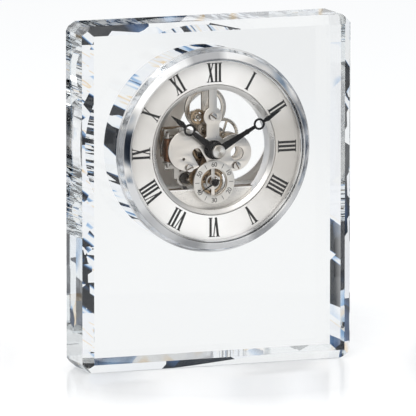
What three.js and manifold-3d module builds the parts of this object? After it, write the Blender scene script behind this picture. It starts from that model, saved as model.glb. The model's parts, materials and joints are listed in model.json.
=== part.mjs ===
// A crystal table clock: a bevelled glass block with a skeleton quartz clock set into its bore.
// Millimetres, +Z up, the dial faces -Y. The origin is the middle of the block's foot.
// Clock pieces are drawn in the clock's own frame: x right, z up, y = 0 on the crystal's front face.
import * as THREE from "three";
import { mergeVertices } from "three/addons/utils/BufferGeometryUtils.js";
import Module from "manifold-3d";

const wasm = await Module();
wasm.setup();

// Clearances
const SEAT = 0.3; // between pieces that touch
const RUNNING = 0.3; // round a pivot
const DEPTHING = 0.03; // extra distance between meshed wheels
const SINK = 0.1; // how far a boss sinks into what it stands on
const PAST = 1; // how far a cut runs past the face it opens
const ROUND = 48; // sides of a large circle
const SMALL = 16; // sides of a small circle
const TINY = 8; // sides of a pin
const LOBE = 20; // sides of a lobe of a plate

// Block
const block = { width: 125, height: 152, depth: 28, bevel: 4, clockDrop: 56, clockShift: -3.5 };
const clockPlace = { x: block.clockShift, z: block.height - block.clockDrop };

// Insert shell
const bezelLip = { radius: 40.3, height: 6.4, land: 0.4, slope: 3 };
const bezelWall = { top: bezelLip.radius + bezelLip.slope, height: 4.7, draft: 1.2 };
const flange = { width: 0.5, thick: 0.7 };
const shellStep = { can: 1.7, web: 10.5 };
const can = { radius: bezelLip.radius + shellStep.can, wall: 0.8, front: 0.9, back: 22.5, rim: 3.5 };
const web = { front: 0.8, thick: 1, inner: can.radius - shellStep.web };
const band = { start: 14, length: 5, thick: 1.4, sides: 32 };
const boreRadius = can.radius + band.thick + 2 * SEAT;
const dial = { inner: 28.8, front: 2, thick: 0.8 };
const lip = { front: 1.9, inner: 26.4, thick: 0.4, step: 0.8, depth: 6 };
const spacer = { thick: 0.6, height: 2.6 };
const lens = { thick: 1.2, rise: 4.8, steps: [0, 0.35, 0.6, 0.82, 1] };
const rearWindow = { x: 13, z: 3, radius: 21, overlap: 1.5, thick: 1 };
const rearWall = 1;

// Plates of the movement, seen from the front
const plate = { front: -0.5, thick: 1, backFront: 8.6, backThick: 1 };
const armHalf = 1.85;
const armEnd = { screwIn: 2.3, past: 2.2 };
const armScrewAt = web.inner + armEnd.screwIn;
const armReach = armScrewAt + armEnd.past;
const neckHalf = 3;
const topLobe = { x: 0, z: 14.4, r: 4.3 };
const leftLobe = { x: -11.75, z: 0.15, r: 9 };
const rightLobe = { x: 9.8, z: -1.9, r: 8.1 };
const middleLobe = { x: 0, z: 0, r: 6.5 };
const underLobe = { x: 0, z: -8.6, r: 7.6 };
const smallLobe = { rotor: 3, upper: 2.6, top: 2, bridgeHalf: 2 };
const topRing = { x: 0, z: 17, outer: 9.6, inner: 7.4, overlap: 0.5 };
const rightHole = { x: 11.2, z: -2.2, r: 3 };
const leftSlot = { x: -6.3, z: -3.2, half: 2.1, reach: 2.4, tilt: 30 };
const pinHole = { x: -13.6, z: -3.6, r: 0.6 };
const sidePillar = { x: 11, z: -7.6 };
const pillarRadius = 1.3;
const screw = { head: 1.7, headHeight: 0.7, headSides: 12, shank: 0.7, slot: 0.45, slotDepth: 0.35, grip: 2.5 };

// Seconds dial, under the centre
const secondsDrop = 14.2;
const secondsDial = { outer: 9.1, inner: 5.85, front: 2, thick: 1.2 };
const secondsBridge = { outer: 3.2, inner: 2.5, hub: 1.3, armHalf: 0.8, overlap: 0.5 };

// Toothed wheels: teeth, front face, thickness; tooth heights are shares of the module
const tooth = { above: 0.8, below: 1.1 };
const spoke = { rim: 1.1, hub: 1.6, half: 0.45, segments: 4 };
const centre = { teeth: 64, front: 6.1, thick: 0.6 };
const thirdPinion = { teeth: 8, front: 5.8, thick: 1.2 };
const third = { teeth: 60, front: 4.5, thick: 0.6 };
const fourthPinion = { teeth: 8, front: 4.2, thick: 1.2 };
const fourth = { teeth: 50, front: 1.1, thick: 0.6 };
const middlePinion = { teeth: 10, front: 0.9, thick: 1 };
const middleWheel = { teeth: 36, front: 2.2, thick: 0.6 };
const rotorPinion = { teeth: 6, front: 1.9, thick: 1.2 };
const cannonPinion = { teeth: 10, front: 1.9, thick: 1 };
const minuteWheel = { teeth: 30, front: 2.1, thick: 0.6 };
const minutePinion = { teeth: 8, front: 0.9, thick: 1 };
const hourWheel = { teeth: 32, front: 1, thick: 0.6 };
const showPinion = { teeth: 8, front: 3.1, thick: 1 };
const upper = { teeth: 60, front: 3.3, thick: 0.6 };
const topPinion = { teeth: 20, front: 3.2, thick: 0.8 };
const topWheel = { teeth: 28, front: 3.3, thick: 0.6 };
const moduleOf = { centre: 0.22, third: 0.2, fourth: 0.215, motion: 0.25, show: 0.243 };
const thirdSide = 1;
const minuteBearing = 150; // degrees from the centre, anticlockwise from the right
const upperBearing = 44;
const topPinionBearing = 162.2;
const topWheelBearing = 112.5;
const arbor = { radius: 0.5, pivot: 0.35 };
const studHub = { wall: 0.5, proud: 0.2, sides: 12 };
const centreArbor = { radius: 0.8, head: 0.9 };
const pipe = { inner: 1.2, outer: 1.7 };
const bush = { inner: 2.1, outer: 4.2, collar: 3.3, collarFront: 3.2, front: 1.9 };
const rotorMagnet = { radius: 2.2, front: 5.1, thick: 1.6 };

// Hands: distance of the front face before the crystal, and thickness
const hand = { thick: 0.35, point: 0.12, overlap: 0.3, swell: 2.2 };
const hourHand = {
  front: 4.4, tip: 26.5, ringAt: 15.6, ringRadius: 2.7, hole: 1.75, hub: 3.6, angle: 308,
  foot: 1.5, neck: 0.75, beyond: 1.2,
};
const minuteHand = {
  front: 5.7, tip: 34, ringAt: 22.4, ringRadius: 2.6, hole: 1.65, hub: 3.7, angle: 61,
  foot: 1.35, neck: 0.7, beyond: 1,
};
const minuteCollar = { at: 16, radius: 1.15 };
const secondsHand = { front: 3.5, tip: 8.2, tail: 2.2, half: 0.45, hub: 1.7, angle: 240 };
const nut = { front: 8.4, radius: 2.9, rim: 0.3 };

// Motor and electrics
const rotorPlace = { x: -10.8, z: -12.9 };
const coil = { x: -19, z: 0.2, y: 4.4, core: 0.8, length: 10.6, flange: 2.3, flangeThick: 0.5, end: 1.4 };
const winding = { radius: 1.75, wire: 0.22, turns: 10, sides: 6, steps: 16 };
const stator = { thick: 0.8, hole: 2.6, ring: 3.7, armHalf: 1.3, legX: -14.6 };
const statorPost = { radius: 0.8, over: 3, under: 5 };
const board = { x: -15, z: 3, width: 11, height: 13, thick: 0.8 };
const chip = { radius: 2.2, height: 0.7, across: 1.6, down: 2 };
const quartz = { radius: 0.9, length: 6, x: -18.5, up: 1.5 };

// Power
const cell = { radius: 5.25, length: 44.5, nub: 1.9, nubLength: 0.8, z: -24.5, y: 12.5 };
const box = { wall: 1.2, endRoom: 2, front: 3, slack: 0.05 };
const contact = { width: 6, thick: 0.3, over: 3, dome: 1, domeFoot: 1.6 };
const spring = { big: 3.4, small: 1.6, wire: 0.25, curls: 3, steps: 8, sides: 5 };
const knob = { radius: 4.5, front: 22.9, thick: 4.2, ribs: 12, groove: 0.4 };

// Finishes
const finish = (color, roughness, metalness) =>
  new THREE.MeshStandardMaterial({ color, roughness, metalness });
const glass = finish(0xf2f6f8, 0.02, 0);
const chrome = finish(0xd9dcde, 0.12, 1);
const satin = finish(0xd3d0cb, 0.35, 0.9);
const steel = finish(0xa9a39a, 0.35, 0.9);
const brass = finish(0xb08a52, 0.3, 0.9);
const black = finish(0x111111, 0.4, 0.2);
const copper = finish(0x9a5a34, 0.4, 0.8);
const cream = finish(0xe6e0d4, 0.5, 0);
const green = finish(0x2f4a35, 0.5, 0);

// Solids from three.js geometry
function solidOf(geometry) {
  const bare = geometry.index ? geometry.toNonIndexed() : geometry.clone();
  bare.deleteAttribute("normal");
  bare.deleteAttribute("uv");
  const merged = mergeVertices(bare, 1e-4);
  const index = merged.index.array;
  const kept = [];
  for (let i = 0; i < index.length; i += 3) {
    const [a, b, c] = index.slice(i, i + 3);
    if (a !== b && b !== c && a !== c) kept.push(a, b, c);
  }
  const vertProperties = new Float32Array(merged.attributes.position.array);
  const made = new wasm.Manifold(
    new wasm.Mesh({ numProp: 3, vertProperties, triVerts: new Uint32Array(kept) }),
  );
  if (made.volume() > 0) return made;
  for (let i = 0; i < kept.length; i += 3) {
    [kept[i + 1], kept[i + 2]] = [kept[i + 2], kept[i + 1]];
  }
  return new wasm.Manifold(
    new wasm.Mesh({ numProp: 3, vertProperties, triVerts: new Uint32Array(kept) }),
  );
}

function meshOf(name, solid, material, x = 0, z = 0) {
  const got = solid.getMesh();
  const geometry = new THREE.BufferGeometry();
  geometry.setAttribute("position", new THREE.BufferAttribute(got.vertProperties, 3));
  geometry.setIndex(new THREE.BufferAttribute(got.triVerts, 1));
  geometry.computeVertexNormals();
  const mesh = new THREE.Mesh(geometry, material);
  mesh.name = name;
  mesh.position.set(x, 0, z);
  return mesh;
}

const joined = (...solids) => solids.reduce((all, next) => all.add(next));
const without = (solid, ...cuts) => cuts.reduce((left, cut) => left.subtract(cut), solid);

function outlineOf(points) {
  const shape = new THREE.Shape();
  points.forEach(([x, y], i) => (i ? shape.lineTo(x, y) : shape.moveTo(x, y)));
  shape.closePath();
  return shape;
}

// A flat outline in x and z, made solid from the front face to the back face.
function slab(shape, front, thick) {
  const geometry = new THREE.ExtrudeGeometry(shape, {
    depth: thick,
    bevelEnabled: false,
    curveSegments: SMALL,
  });
  geometry.rotateX(Math.PI / 2);
  geometry.translate(0, front + thick, 0);
  return solidOf(geometry);
}

// A revolved profile of [radius, y] points round the clock's y direction.
function turned(points, sides = ROUND) {
  const profile = points.map(([r, y]) => new THREE.Vector2(r, y));
  return solidOf(new THREE.LatheGeometry(profile, sides));
}

function disc(radius, front, thick, x = 0, z = 0, sides = SMALL) {
  const geometry = new THREE.CylinderGeometry(radius, radius, thick, sides);
  geometry.translate(x, front + thick / 2, z);
  return solidOf(geometry);
}

function bar(x0, x1, y0, y1, z0, z1) {
  const geometry = new THREE.BoxGeometry(x1 - x0, y1 - y0, z1 - z0);
  geometry.translate((x0 + x1) / 2, (y0 + y1) / 2, (z0 + z1) / 2);
  return solidOf(geometry);
}

function ring(outer, inner, front, thick, sides = ROUND) {
  const back = front + thick;
  return turned([[inner, front], [outer, front], [outer, back], [inner, back], [inner, front]], sides);
}

const radians = THREE.MathUtils.degToRad;
const along = (from, bearing, distance) => ({
  x: from.x + distance * Math.cos(radians(bearing)),
  z: from.z + distance * Math.sin(radians(bearing)),
});

// The axis at two given distances from two others, to the right (1) or the left (-1) of the line a to b.
function between(a, b, fromA, fromB, side) {
  const gap = Math.hypot(b.x - a.x, b.z - a.z);
  const step = (fromA ** 2 + gap ** 2 - fromB ** 2) / (2 * gap);
  const off = side * Math.sqrt(fromA ** 2 - step ** 2);
  const [ux, uz] = [(b.x - a.x) / gap, (b.z - a.z) / gap];
  return { x: a.x + ux * step - uz * off, z: a.z + uz * step + ux * off };
}

// Toothed outline: each tooth is a wedge from the root circle to a tip in the middle of its pitch.
function toothed(teeth, module, phase) {
  const pitch = (teeth * module) / 2;
  const tipRadius = pitch + tooth.above * module;
  const rootRadius = pitch - tooth.below * module;
  const step = (2 * Math.PI) / teeth;
  const points = [];
  for (let i = 0; i < teeth; i += 1) {
    const middle = phase + i * step;
    const gap = middle - 0.5 * step;
    points.push([rootRadius * Math.cos(gap), rootRadius * Math.sin(gap)]);
    points.push([tipRadius * Math.cos(middle), tipRadius * Math.sin(middle)]);
  }
  return outlineOf(points);
}

// The phase of a wheel that meshes with another: its gap meets the other's tooth on the line of centres.
function meshed(other, otherTeeth, otherPhase, own, ownTeeth) {
  const line = Math.atan2(own.z - other.z, own.x - other.x);
  return line + Math.PI - (otherTeeth / ownTeeth) * (otherPhase - line) + Math.PI / ownTeeth;
}

function windows(radius, rim, hub, spokes, spokeHalf) {
  const cuts = [];
  const step = (2 * Math.PI) / spokes;
  for (let i = 0; i < spokes; i += 1) {
    const [inner, outer] = [radius - rim, hub];
    const shape = new THREE.Shape();
    const a = i * step + Math.asin(spokeHalf / outer);
    const b = (i + 1) * step - Math.asin(spokeHalf / outer);
    const c = i * step + Math.asin(spokeHalf / inner);
    const d = (i + 1) * step - Math.asin(spokeHalf / inner);
    shape.moveTo(outer * Math.cos(a), outer * Math.sin(a));
    shape.absarc(0, 0, outer, a, b, false);
    shape.lineTo(inner * Math.cos(d), inner * Math.sin(d));
    shape.absarc(0, 0, inner, d, c, true);
    shape.closePath();
    cuts.push(shape);
  }
  return cuts;
}

// A wheel with open spokes, at its own axis.
function wheel(spec, module, phase, spokes = 0) {
  const radius = (spec.teeth * module) / 2;
  const shape = toothed(spec.teeth, module, phase);
  if (spokes) shape.holes.push(...windows(radius - module, spoke.rim, spoke.hub, spokes, spoke.half));
  const geometry = new THREE.ExtrudeGeometry(shape, {
    depth: spec.thick,
    bevelEnabled: false,
    curveSegments: spoke.segments,
  });
  geometry.rotateX(Math.PI / 2);
  geometry.translate(0, spec.front + spec.thick, 0);
  return solidOf(geometry);
}

const spindle = (radius, front, back, sides = TINY) => disc(radius, front, back - front, 0, 0, sides);

// Axes of the train
const origin = { x: 0, z: 0 };
const secondsAxis = { x: 0, z: -secondsDrop };
const reach = (a, b, module) => ((a.teeth + b.teeth) * module) / 2 + DEPTHING;
const thirdAxis = between(
  origin,
  secondsAxis,
  reach(centre, thirdPinion, moduleOf.centre),
  reach(third, fourthPinion, moduleOf.third),
  thirdSide,
);
const middleAxis = between(
  secondsAxis,
  rotorPlace,
  reach(fourth, middlePinion, moduleOf.fourth),
  reach(middleWheel, rotorPinion, moduleOf.fourth),
  -1,
);
const minuteAxis = along(origin, minuteBearing, reach(cannonPinion, minuteWheel, moduleOf.motion));
const upperAxis = along(origin, upperBearing, reach(showPinion, upper, moduleOf.show));
const topPinionAxis = along(upperAxis, topPinionBearing, reach(upper, topPinion, moduleOf.show));
const topWheelAxis = along(topPinionAxis, topWheelBearing, reach(topPinion, topWheel, moduleOf.show));

// Phases, each from the wheel that drives it
const phase = { centre: 0, cannon: 0, show: 0 };
phase.thirdPinion = meshed(origin, centre.teeth, phase.centre, thirdAxis, thirdPinion.teeth);
phase.third = 0;
phase.fourthPinion = meshed(thirdAxis, third.teeth, phase.third, secondsAxis, fourthPinion.teeth);
phase.fourth = 0;
phase.middlePinion = meshed(secondsAxis, fourth.teeth, phase.fourth, middleAxis, middlePinion.teeth);
phase.middleWheel = 0;
phase.rotor = meshed(middleAxis, middleWheel.teeth, phase.middleWheel, rotorPlace, rotorPinion.teeth);
phase.minute = meshed(origin, cannonPinion.teeth, phase.cannon, minuteAxis, minuteWheel.teeth);
phase.minutePinion = 0;
phase.hour = meshed(minuteAxis, minutePinion.teeth, phase.minutePinion, origin, hourWheel.teeth);
phase.upper = meshed(origin, showPinion.teeth, phase.show, upperAxis, upper.teeth);
phase.topPinion = meshed(upperAxis, upper.teeth, phase.upper, topPinionAxis, topPinion.teeth);
phase.topWheel = meshed(topPinionAxis, topPinion.teeth, phase.topPinion, topWheelAxis, topWheel.teeth);

const plateBack = plate.front + plate.thick;
const statorFront = coil.y + coil.core + SEAT;
const statorBack = statorFront + stator.thick;
const backPlateBack = plate.backFront + plate.backThick;
const pivotStart = plateBack + SEAT;
const pivotEnd = plate.backFront - SEAT;

// Block: three bevelled outlines meet in one solid, then the bore goes through
function bevelled(width, height, bevel) {
  const [w, h] = [width / 2, height / 2];
  return outlineOf([
    [-w + bevel, -h],
    [w - bevel, -h],
    [w, -h + bevel],
    [w, h - bevel],
    [w - bevel, h],
    [-w + bevel, h],
    [-w, h - bevel],
    [-w, -h + bevel],
  ]);
}

function crystalBlock() {
  const { width, height, depth, bevel } = block;
  const options = { bevelEnabled: false };
  const face = new THREE.ExtrudeGeometry(bevelled(width, height, bevel), { ...options, depth });
  face.rotateX(Math.PI / 2);
  face.translate(0, depth / 2, height / 2);
  const plan = new THREE.ExtrudeGeometry(bevelled(width, depth, bevel), { ...options, depth: height });
  const side = new THREE.ExtrudeGeometry(bevelled(depth, height, bevel), { ...options, depth: width });
  side.rotateX(Math.PI / 2);
  side.rotateZ(Math.PI / 2);
  side.translate(-width / 2, 0, height / 2);
  const body = solidOf(face).intersect(solidOf(plan)).intersect(solidOf(side));
  const hole = disc(boreRadius, -depth, 2 * depth, clockPlace.x, clockPlace.z, ROUND);
  return meshOf("crystal_block", body.subtract(hole), glass);
}

// Shell of the insert
function bezelPiece() {
  const inside = can.radius + SEAT;
  const foot = -(can.front + SEAT);
  const { top, height, draft } = bezelWall;
  const rest = -SEAT - flange.thick;
  const edge = top + draft + flange.width;
  return meshOf(
    "bezel",
    turned([
      [bezelLip.radius, foot],
      [bezelLip.radius, -bezelLip.height],
      [bezelLip.radius + bezelLip.land, -bezelLip.height],
      [top, -height],
      [top + draft, rest],
      [edge, rest],
      [edge, -SEAT],
      [inside, -SEAT],
      [inside, foot],
      [bezelLip.radius, foot],
    ]),
    chrome,
  );
}

function insertCan() {
  const { radius, wall, front, back } = can;
  const inner = radius - wall;
  const rim = radius - can.rim;
  const webBack = web.front + web.thick;
  const shell = turned([
    [rim, -front],
    [radius, -front],
    [radius, back],
    [0, back],
    [0, back - rearWall],
    [inner, back - rearWall],
    [inner, webBack],
    [web.inner, webBack],
    [web.inner, web.front],
    [rim, web.front],
    [rim, -front],
  ]);
  const opening = disc(
    rearWindow.radius, back - 2 * rearWall, 3 * rearWall, rearWindow.x, rearWindow.z, ROUND,
  );
  const slot = cellRoom(back - 2 * rearWall, back + rearWall);
  const stem = disc(centreArbor.radius + 2 * RUNNING, back - 2 * rearWall, 3 * rearWall);
  const screwHole = disc(screw.shank + RUNNING, web.front - SEAT, web.thick + PAST, 0, armScrewAt, TINY);
  return meshOf("insert_can", without(shell, opening, slot, stem, screwHole), satin);
}

function retainingBand() {
  const { start, length, thick, sides } = band;
  const inner = can.radius + SEAT;
  return meshOf("retaining_band", ring(inner + thick, inner, start, length, sides), black);
}

function dialRing() {
  const outer = bezelLip.radius - SEAT;
  return meshOf("dial_ring", ring(outer, dial.inner, -dial.front, dial.thick), satin);
}

function dialLip() {
  const outer = dial.inner - SEAT;
  const { front, inner, thick, step, depth } = lip;
  const wall = turned([
    [outer, -front],
    [outer, -front + thick],
    [inner + thick, -step + thick],
    [inner + thick, depth],
    [inner, depth],
    [inner, -step],
    [outer - thick, -front],
    [outer, -front],
  ]);
  const armGap = bar(
    -armHalf - SEAT, armHalf + SEAT, plate.front - SEAT, depth + PAST, 0, dial.inner,
  );
  const boxGap = bar(
    -dial.inner, dial.inner, box.front - SEAT, depth + PAST, -dial.inner, boxTop + SEAT,
  );
  return meshOf("dial_lip", without(wall, armGap, boxGap), chrome);
}

function lensSpacer() {
  const outer = bezelLip.radius - SEAT;
  return meshOf(
    "lens_spacer",
    ring(outer, outer - spacer.thick, -(dial.front + SEAT + spacer.height), spacer.height),
    chrome,
  );
}

function lensPiece() {
  const radius = bezelLip.radius - SEAT;
  const rim = -(dial.front + 2 * SEAT + spacer.height);
  const sphere = (radius ** 2 + lens.rise ** 2) / (2 * lens.rise);
  const height = (r) => Math.sqrt(sphere ** 2 - r ** 2) - (sphere - lens.rise);
  const steps = lens.steps.map((share) => share * radius);
  const inside = steps.map((r) => [r, rim - height(r)]);
  const outside = steps.map((r) => [r, rim - height(r) - lens.thick]).reverse();
  return meshOf("lens", turned([...inside, ...outside]), glass);
}

function rearPane() {
  const { x, z, radius, overlap, thick } = rearWindow;
  const front = can.back - rearWall - SEAT - thick;
  const pane = disc(radius + overlap, front, thick, x, z, ROUND);
  const stem = disc(centreArbor.radius + 2 * RUNNING, front - PAST, thick + 2 * PAST);
  const far = can.radius;
  const clear = bar(-far, far, front - PAST, front + thick + PAST, -far, boxTop + SEAT);
  return meshOf("rear_window", without(pane, stem, clear), glass);
}

// Plates
const lobe = (spot, radius, front, thick) => disc(radius, front, thick, spot.x, spot.z, LOBE);

function screwHoles(front, thick) {
  const deep = [front - PAST, thick + 2 * PAST];
  return pillarSpots.map(([, spot]) => disc(screw.shank + RUNNING, ...deep, spot.x, spot.z, TINY));
}

const pillarSpots = [
  ["top", topLobe],
  ["left", { x: -sidePillar.x, z: sidePillar.z }],
  ["right", sidePillar],
];

function frontPlate() {
  const { front, thick } = plate;
  const body = joined(
    lobe(topLobe, topLobe.r, front, thick),
    lobe(leftLobe, leftLobe.r, front, thick),
    lobe(rightLobe, rightLobe.r, front, thick),
    lobe(middleLobe, middleLobe.r, front, thick),
    lobe(secondsAxis, secondsDial.outer, front, thick),
    bar(-armHalf, armHalf, front, front + thick, 0, armReach),
    bar(-neckHalf, neckHalf, front, front + thick, 0, topLobe.z),
  );
  const post = disc(arbor.radius, front + thick / 2, minuteWheel.front + 1, minuteAxis.x, minuteAxis.z, TINY);
  const deep = [front - PAST, thick + 2 * PAST];
  const slotShape = new THREE.Shape();
  slotShape.absarc(0, leftSlot.reach, leftSlot.half, 0, Math.PI, false);
  slotShape.absarc(0, -leftSlot.reach, leftSlot.half, Math.PI, 2 * Math.PI, false);
  const slotGeometry = new THREE.ExtrudeGeometry(slotShape, {
    depth: thick + 2 * PAST,
    bevelEnabled: false,
    curveSegments: TINY,
  });
  slotGeometry.rotateX(Math.PI / 2);
  slotGeometry.rotateY(radians(leftSlot.tilt));
  slotGeometry.translate(leftSlot.x, front + thick + PAST, leftSlot.z);
  const bore = disc(secondsDial.inner, ...deep, secondsAxis.x, secondsAxis.z, ROUND / 2);
  const open = without(
    body,
    bore,
    solidOf(slotGeometry),
    disc(pipe.outer + RUNNING, ...deep),
    disc(rightHole.r, ...deep, rightHole.x, rightHole.z),
    disc(pinHole.r, ...deep, pinHole.x, pinHole.z, TINY),
    disc(arbor.pivot + RUNNING, ...deep, middleAxis.x, middleAxis.z, TINY),
    disc(screw.shank + RUNNING, ...deep, 0, armScrewAt, TINY),
    ...screwHoles(front, thick),
  );
  return meshOf("front_plate", joined(open, post, secondsBearing(front, thick)), satin);
}

// A hub and a ring on two upright arms hold the seconds arbor in the open middle of its dial.
function secondsBearing(front, thick) {
  const { outer, inner, hub, armHalf: half } = secondsBridge;
  const circle = (radius) => disc(radius, front, thick, secondsAxis.x, secondsAxis.z, LOBE);
  const span = secondsDial.inner + secondsBridge.overlap;
  const arms = bar(-half, half, front, front + thick, secondsAxis.z - span, secondsAxis.z + span);
  const hoop = circle(outer).subtract(circle(inner));
  const bore = arbor.radius + RUNNING;
  const pivot = disc(bore, front - PAST, thick + 2 * PAST, secondsAxis.x, secondsAxis.z, TINY);
  return without(joined(hoop, arms, circle(hub)), pivot);
}

const studFront = upper.front - 2 * studHub.proud;

function stud(axis, front) {
  return disc(arbor.radius, front, plate.backFront + plate.backThick / 2 - front, axis.x, axis.z, TINY);
}

function backPlate() {
  const { backFront: front, backThick: thick } = plate;
  const deep = [front - PAST, thick + 2 * PAST];
  const crown = without(
    disc(topRing.outer, front, thick, topRing.x, topRing.z, 2 * LOBE),
    disc(topRing.inner, ...deep, topRing.x, topRing.z, 2 * LOBE),
  );
  const body = joined(
    crown,
    bar(-armHalf, armHalf, front, front + thick, 0, topRing.z + topRing.inner + topRing.overlap),
    lobe(leftLobe, leftLobe.r, front, thick),
    lobe(rightLobe, rightLobe.r, front, thick),
    lobe(middleLobe, middleLobe.r, front, thick),
    lobe(underLobe, underLobe.r, front, thick),
    lobe(rotorPlace, smallLobe.rotor, front, thick),
    bar(
      rotorPlace.x - smallLobe.bridgeHalf, rotorPlace.x + smallLobe.bridgeHalf,
      front, front + thick, rotorPlace.z, leftLobe.z,
    ),
    lobe(upperAxis, smallLobe.upper, front, thick),
    lobe(topPinionAxis, smallLobe.top, front, thick),
    lobe(topWheelAxis, smallLobe.top, front, thick),
  );
  const pivot = (axis, radius = arbor.pivot) => disc(radius + RUNNING, ...deep, axis.x, axis.z, TINY);
  const open = without(
    body,
    pivot(origin, centreArbor.radius),
    pivot(thirdAxis),
    pivot(secondsAxis),
    pivot(middleAxis),
    pivot(rotorPlace),
    disc(rightHole.r, ...deep, rightHole.x, rightHole.z),
    ...screwHoles(front, thick),
  );
  const studs = [upperAxis, topPinionAxis, topWheelAxis].map((axis) => stud(axis, studFront));
  const postLength = front + thick / 2 - statorBack - SEAT;
  const postSpots = [coil.z + statorPost.over, coil.z - statorPost.under];
  const statorPosts = postSpots.map((z) =>
    disc(statorPost.radius, statorBack + SEAT, postLength, stator.legX, z, TINY),
  );
  return meshOf("back_plate", joined(open, ...studs, ...statorPosts), steel);
}

function pillars() {
  const length = plate.backFront - plateBack - 2 * SEAT;
  return pillarSpots.map(([side, spot]) => {
    const body = disc(pillarRadius, pivotStart, length);
    const bore = disc(screw.shank + SEAT, pivotStart - PAST, length + 2 * PAST, 0, 0, TINY);
    return meshOf(`plate_pillar_${side}`, body.subtract(bore), steel, spot.x, spot.z);
  });
}

// A cheese-head screw whose head lies on the face at y, with its shank in the direction way.
function slotted(name, y, way, shankLength, spot) {
  const headFoot = y - way * SEAT;
  const headTop = headFoot - way * screw.headHeight;
  const head = disc(screw.head, Math.min(headFoot, headTop), screw.headHeight, 0, 0, screw.headSides);
  const shankEnd = headFoot + way * shankLength;
  const shankFront = Math.min(headFoot, shankEnd) - SINK / 2;
  const shank = disc(screw.shank, shankFront, shankLength + SINK, 0, 0, TINY);
  const cutEnd = headTop + way * screw.slotDepth;
  const [low, high] = [Math.min(headTop - way, cutEnd), Math.max(headTop - way, cutEnd)];
  const across = screw.head + PAST;
  const cut = bar(-across, across, low, high, -screw.slot / 2, screw.slot / 2);
  return meshOf(name, joined(head, shank).subtract(cut), chrome, spot.x, spot.z);
}

function screws() {
  const grip = plate.thick + SEAT + screw.grip;
  const fronts = pillarSpots.map(([side, spot]) =>
    slotted(`front_screw_${side}`, plate.front, 1, grip, spot),
  );
  const backs = pillarSpots.map(([side, spot]) =>
    slotted(`back_screw_${side}`, backPlateBack, -1, grip, spot),
  );
  const arm = slotted("arm_screw", web.front + web.thick, -1, web.thick + plate.thick + SEAT, {
    x: 0,
    z: armScrewAt,
  });
  return [...fronts, ...backs, arm];
}

function secondsDialRing() {
  const { outer, inner, front, thick } = secondsDial;
  return meshOf("seconds_dial", ring(outer, inner, -front, thick, 40), satin, 0, -secondsDrop);
}

function centreBush() {
  const back = plate.front - SEAT;
  const { inner, outer, collar, collarFront, front } = bush;
  return meshOf(
    "centre_bush",
    turned([
      [inner, back], [inner, -collarFront], [collar, -collarFront], [collar, -front],
      [outer, -front], [outer, back], [inner, back],
    ], 32),
    black,
  );
}

// Wheels of the train
function centreArborPiece() {
  const shaft = spindle(centreArbor.radius, -minuteHand.front, knob.front - SEAT);
  const noseEnd = cannonPinion.front + cannonPinion.thick / 2;
  const nose = spindle(centreArbor.head, hand.thick + SEAT - minuteHand.front, noseEnd, 12);
  return meshOf(
    "centre_wheel",
    joined(
      shaft,
      nose,
      wheel(cannonPinion, moduleOf.motion, phase.cannon),
      wheel(showPinion, moduleOf.show, phase.show),
      wheel(centre, moduleOf.centre, phase.centre, 4),
    ),
    brass,
  );
}

function arborPiece(name, axis, front, back, material, ...parts) {
  const ends = spindle(arbor.pivot, front, back);
  const shaft = spindle(arbor.radius, pivotStart, pivotEnd);
  return meshOf(name, joined(shaft, ends, ...parts), material, axis.x, axis.z);
}

function train() {
  const { third: fine, fourth: coarse } = moduleOf;
  return [
    centreArborPiece(),
    arborPiece("third_wheel", thirdAxis, pivotStart, backPlateBack, brass,
      wheel(thirdPinion, moduleOf.centre, phase.thirdPinion),
      wheel(third, fine, phase.third)),
    fourthWheelPiece(),
    arborPiece("intermediate_wheel", middleAxis, plate.front, backPlateBack, brass,
      wheel(middlePinion, coarse, phase.middlePinion),
      wheel(middleWheel, coarse, phase.middleWheel)),
    arborPiece("rotor", rotorPlace, pivotStart, backPlateBack, steel,
      wheel(rotorPinion, coarse, phase.rotor),
      disc(rotorMagnet.radius, rotorMagnet.front, rotorMagnet.thick)),
  ];
}

function fourthWheelPiece() {
  const { third: fine, fourth: coarse } = moduleOf;
  const nose = spindle(arbor.radius, -(secondsHand.front - hand.thick) + SEAT, pivotStart);
  return arborPiece("fourth_wheel", secondsAxis, pivotStart, backPlateBack, brass,
    nose,
    wheel(fourthPinion, fine, phase.fourthPinion),
    wheel(fourth, coarse, phase.fourth, 4));
}

// A wheel that turns on a fixed stud, with a hub that reaches back to the plate's face.
function studWheel(name, axis, spec, module, turn, hubBack, spokes, material) {
  const bore = arbor.radius + RUNNING;
  const front = spec.front - studHub.proud;
  const hub = disc(bore + studHub.wall, front, hubBack - front, 0, 0, studHub.sides);
  const hole = disc(bore, front - PAST, hubBack - front + 2 * PAST, 0, 0, TINY);
  const body = joined(wheel(spec, module, turn, spokes), hub).subtract(hole);
  return meshOf(name, body, material, axis.x, axis.z);
}

function displayWheels() {
  const back = plate.backFront - SEAT;
  return [
    studWheel("upper_wheel", upperAxis, upper, moduleOf.show, phase.upper, centre.front - SEAT, 5, brass),
    studWheel("top_pinion", topPinionAxis, topPinion, moduleOf.show, phase.topPinion, back, 0, steel),
    studWheel("top_wheel", topWheelAxis, topWheel, moduleOf.show, phase.topWheel, back, 0, brass),
  ];
}

function minuteWheelPiece() {
  const back = minuteWheel.front + minuteWheel.thick + PAST;
  const hole = disc(arbor.radius + RUNNING, 0, back, 0, 0, TINY);
  const body = joined(
    wheel(minuteWheel, moduleOf.motion, phase.minute),
    wheel({ ...minutePinion, thick: minuteWheel.front - minutePinion.front + SINK },
      moduleOf.motion, phase.minutePinion),
  );
  return meshOf("minute_wheel", body.subtract(hole), brass, minuteAxis.x, minuteAxis.z);
}

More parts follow.
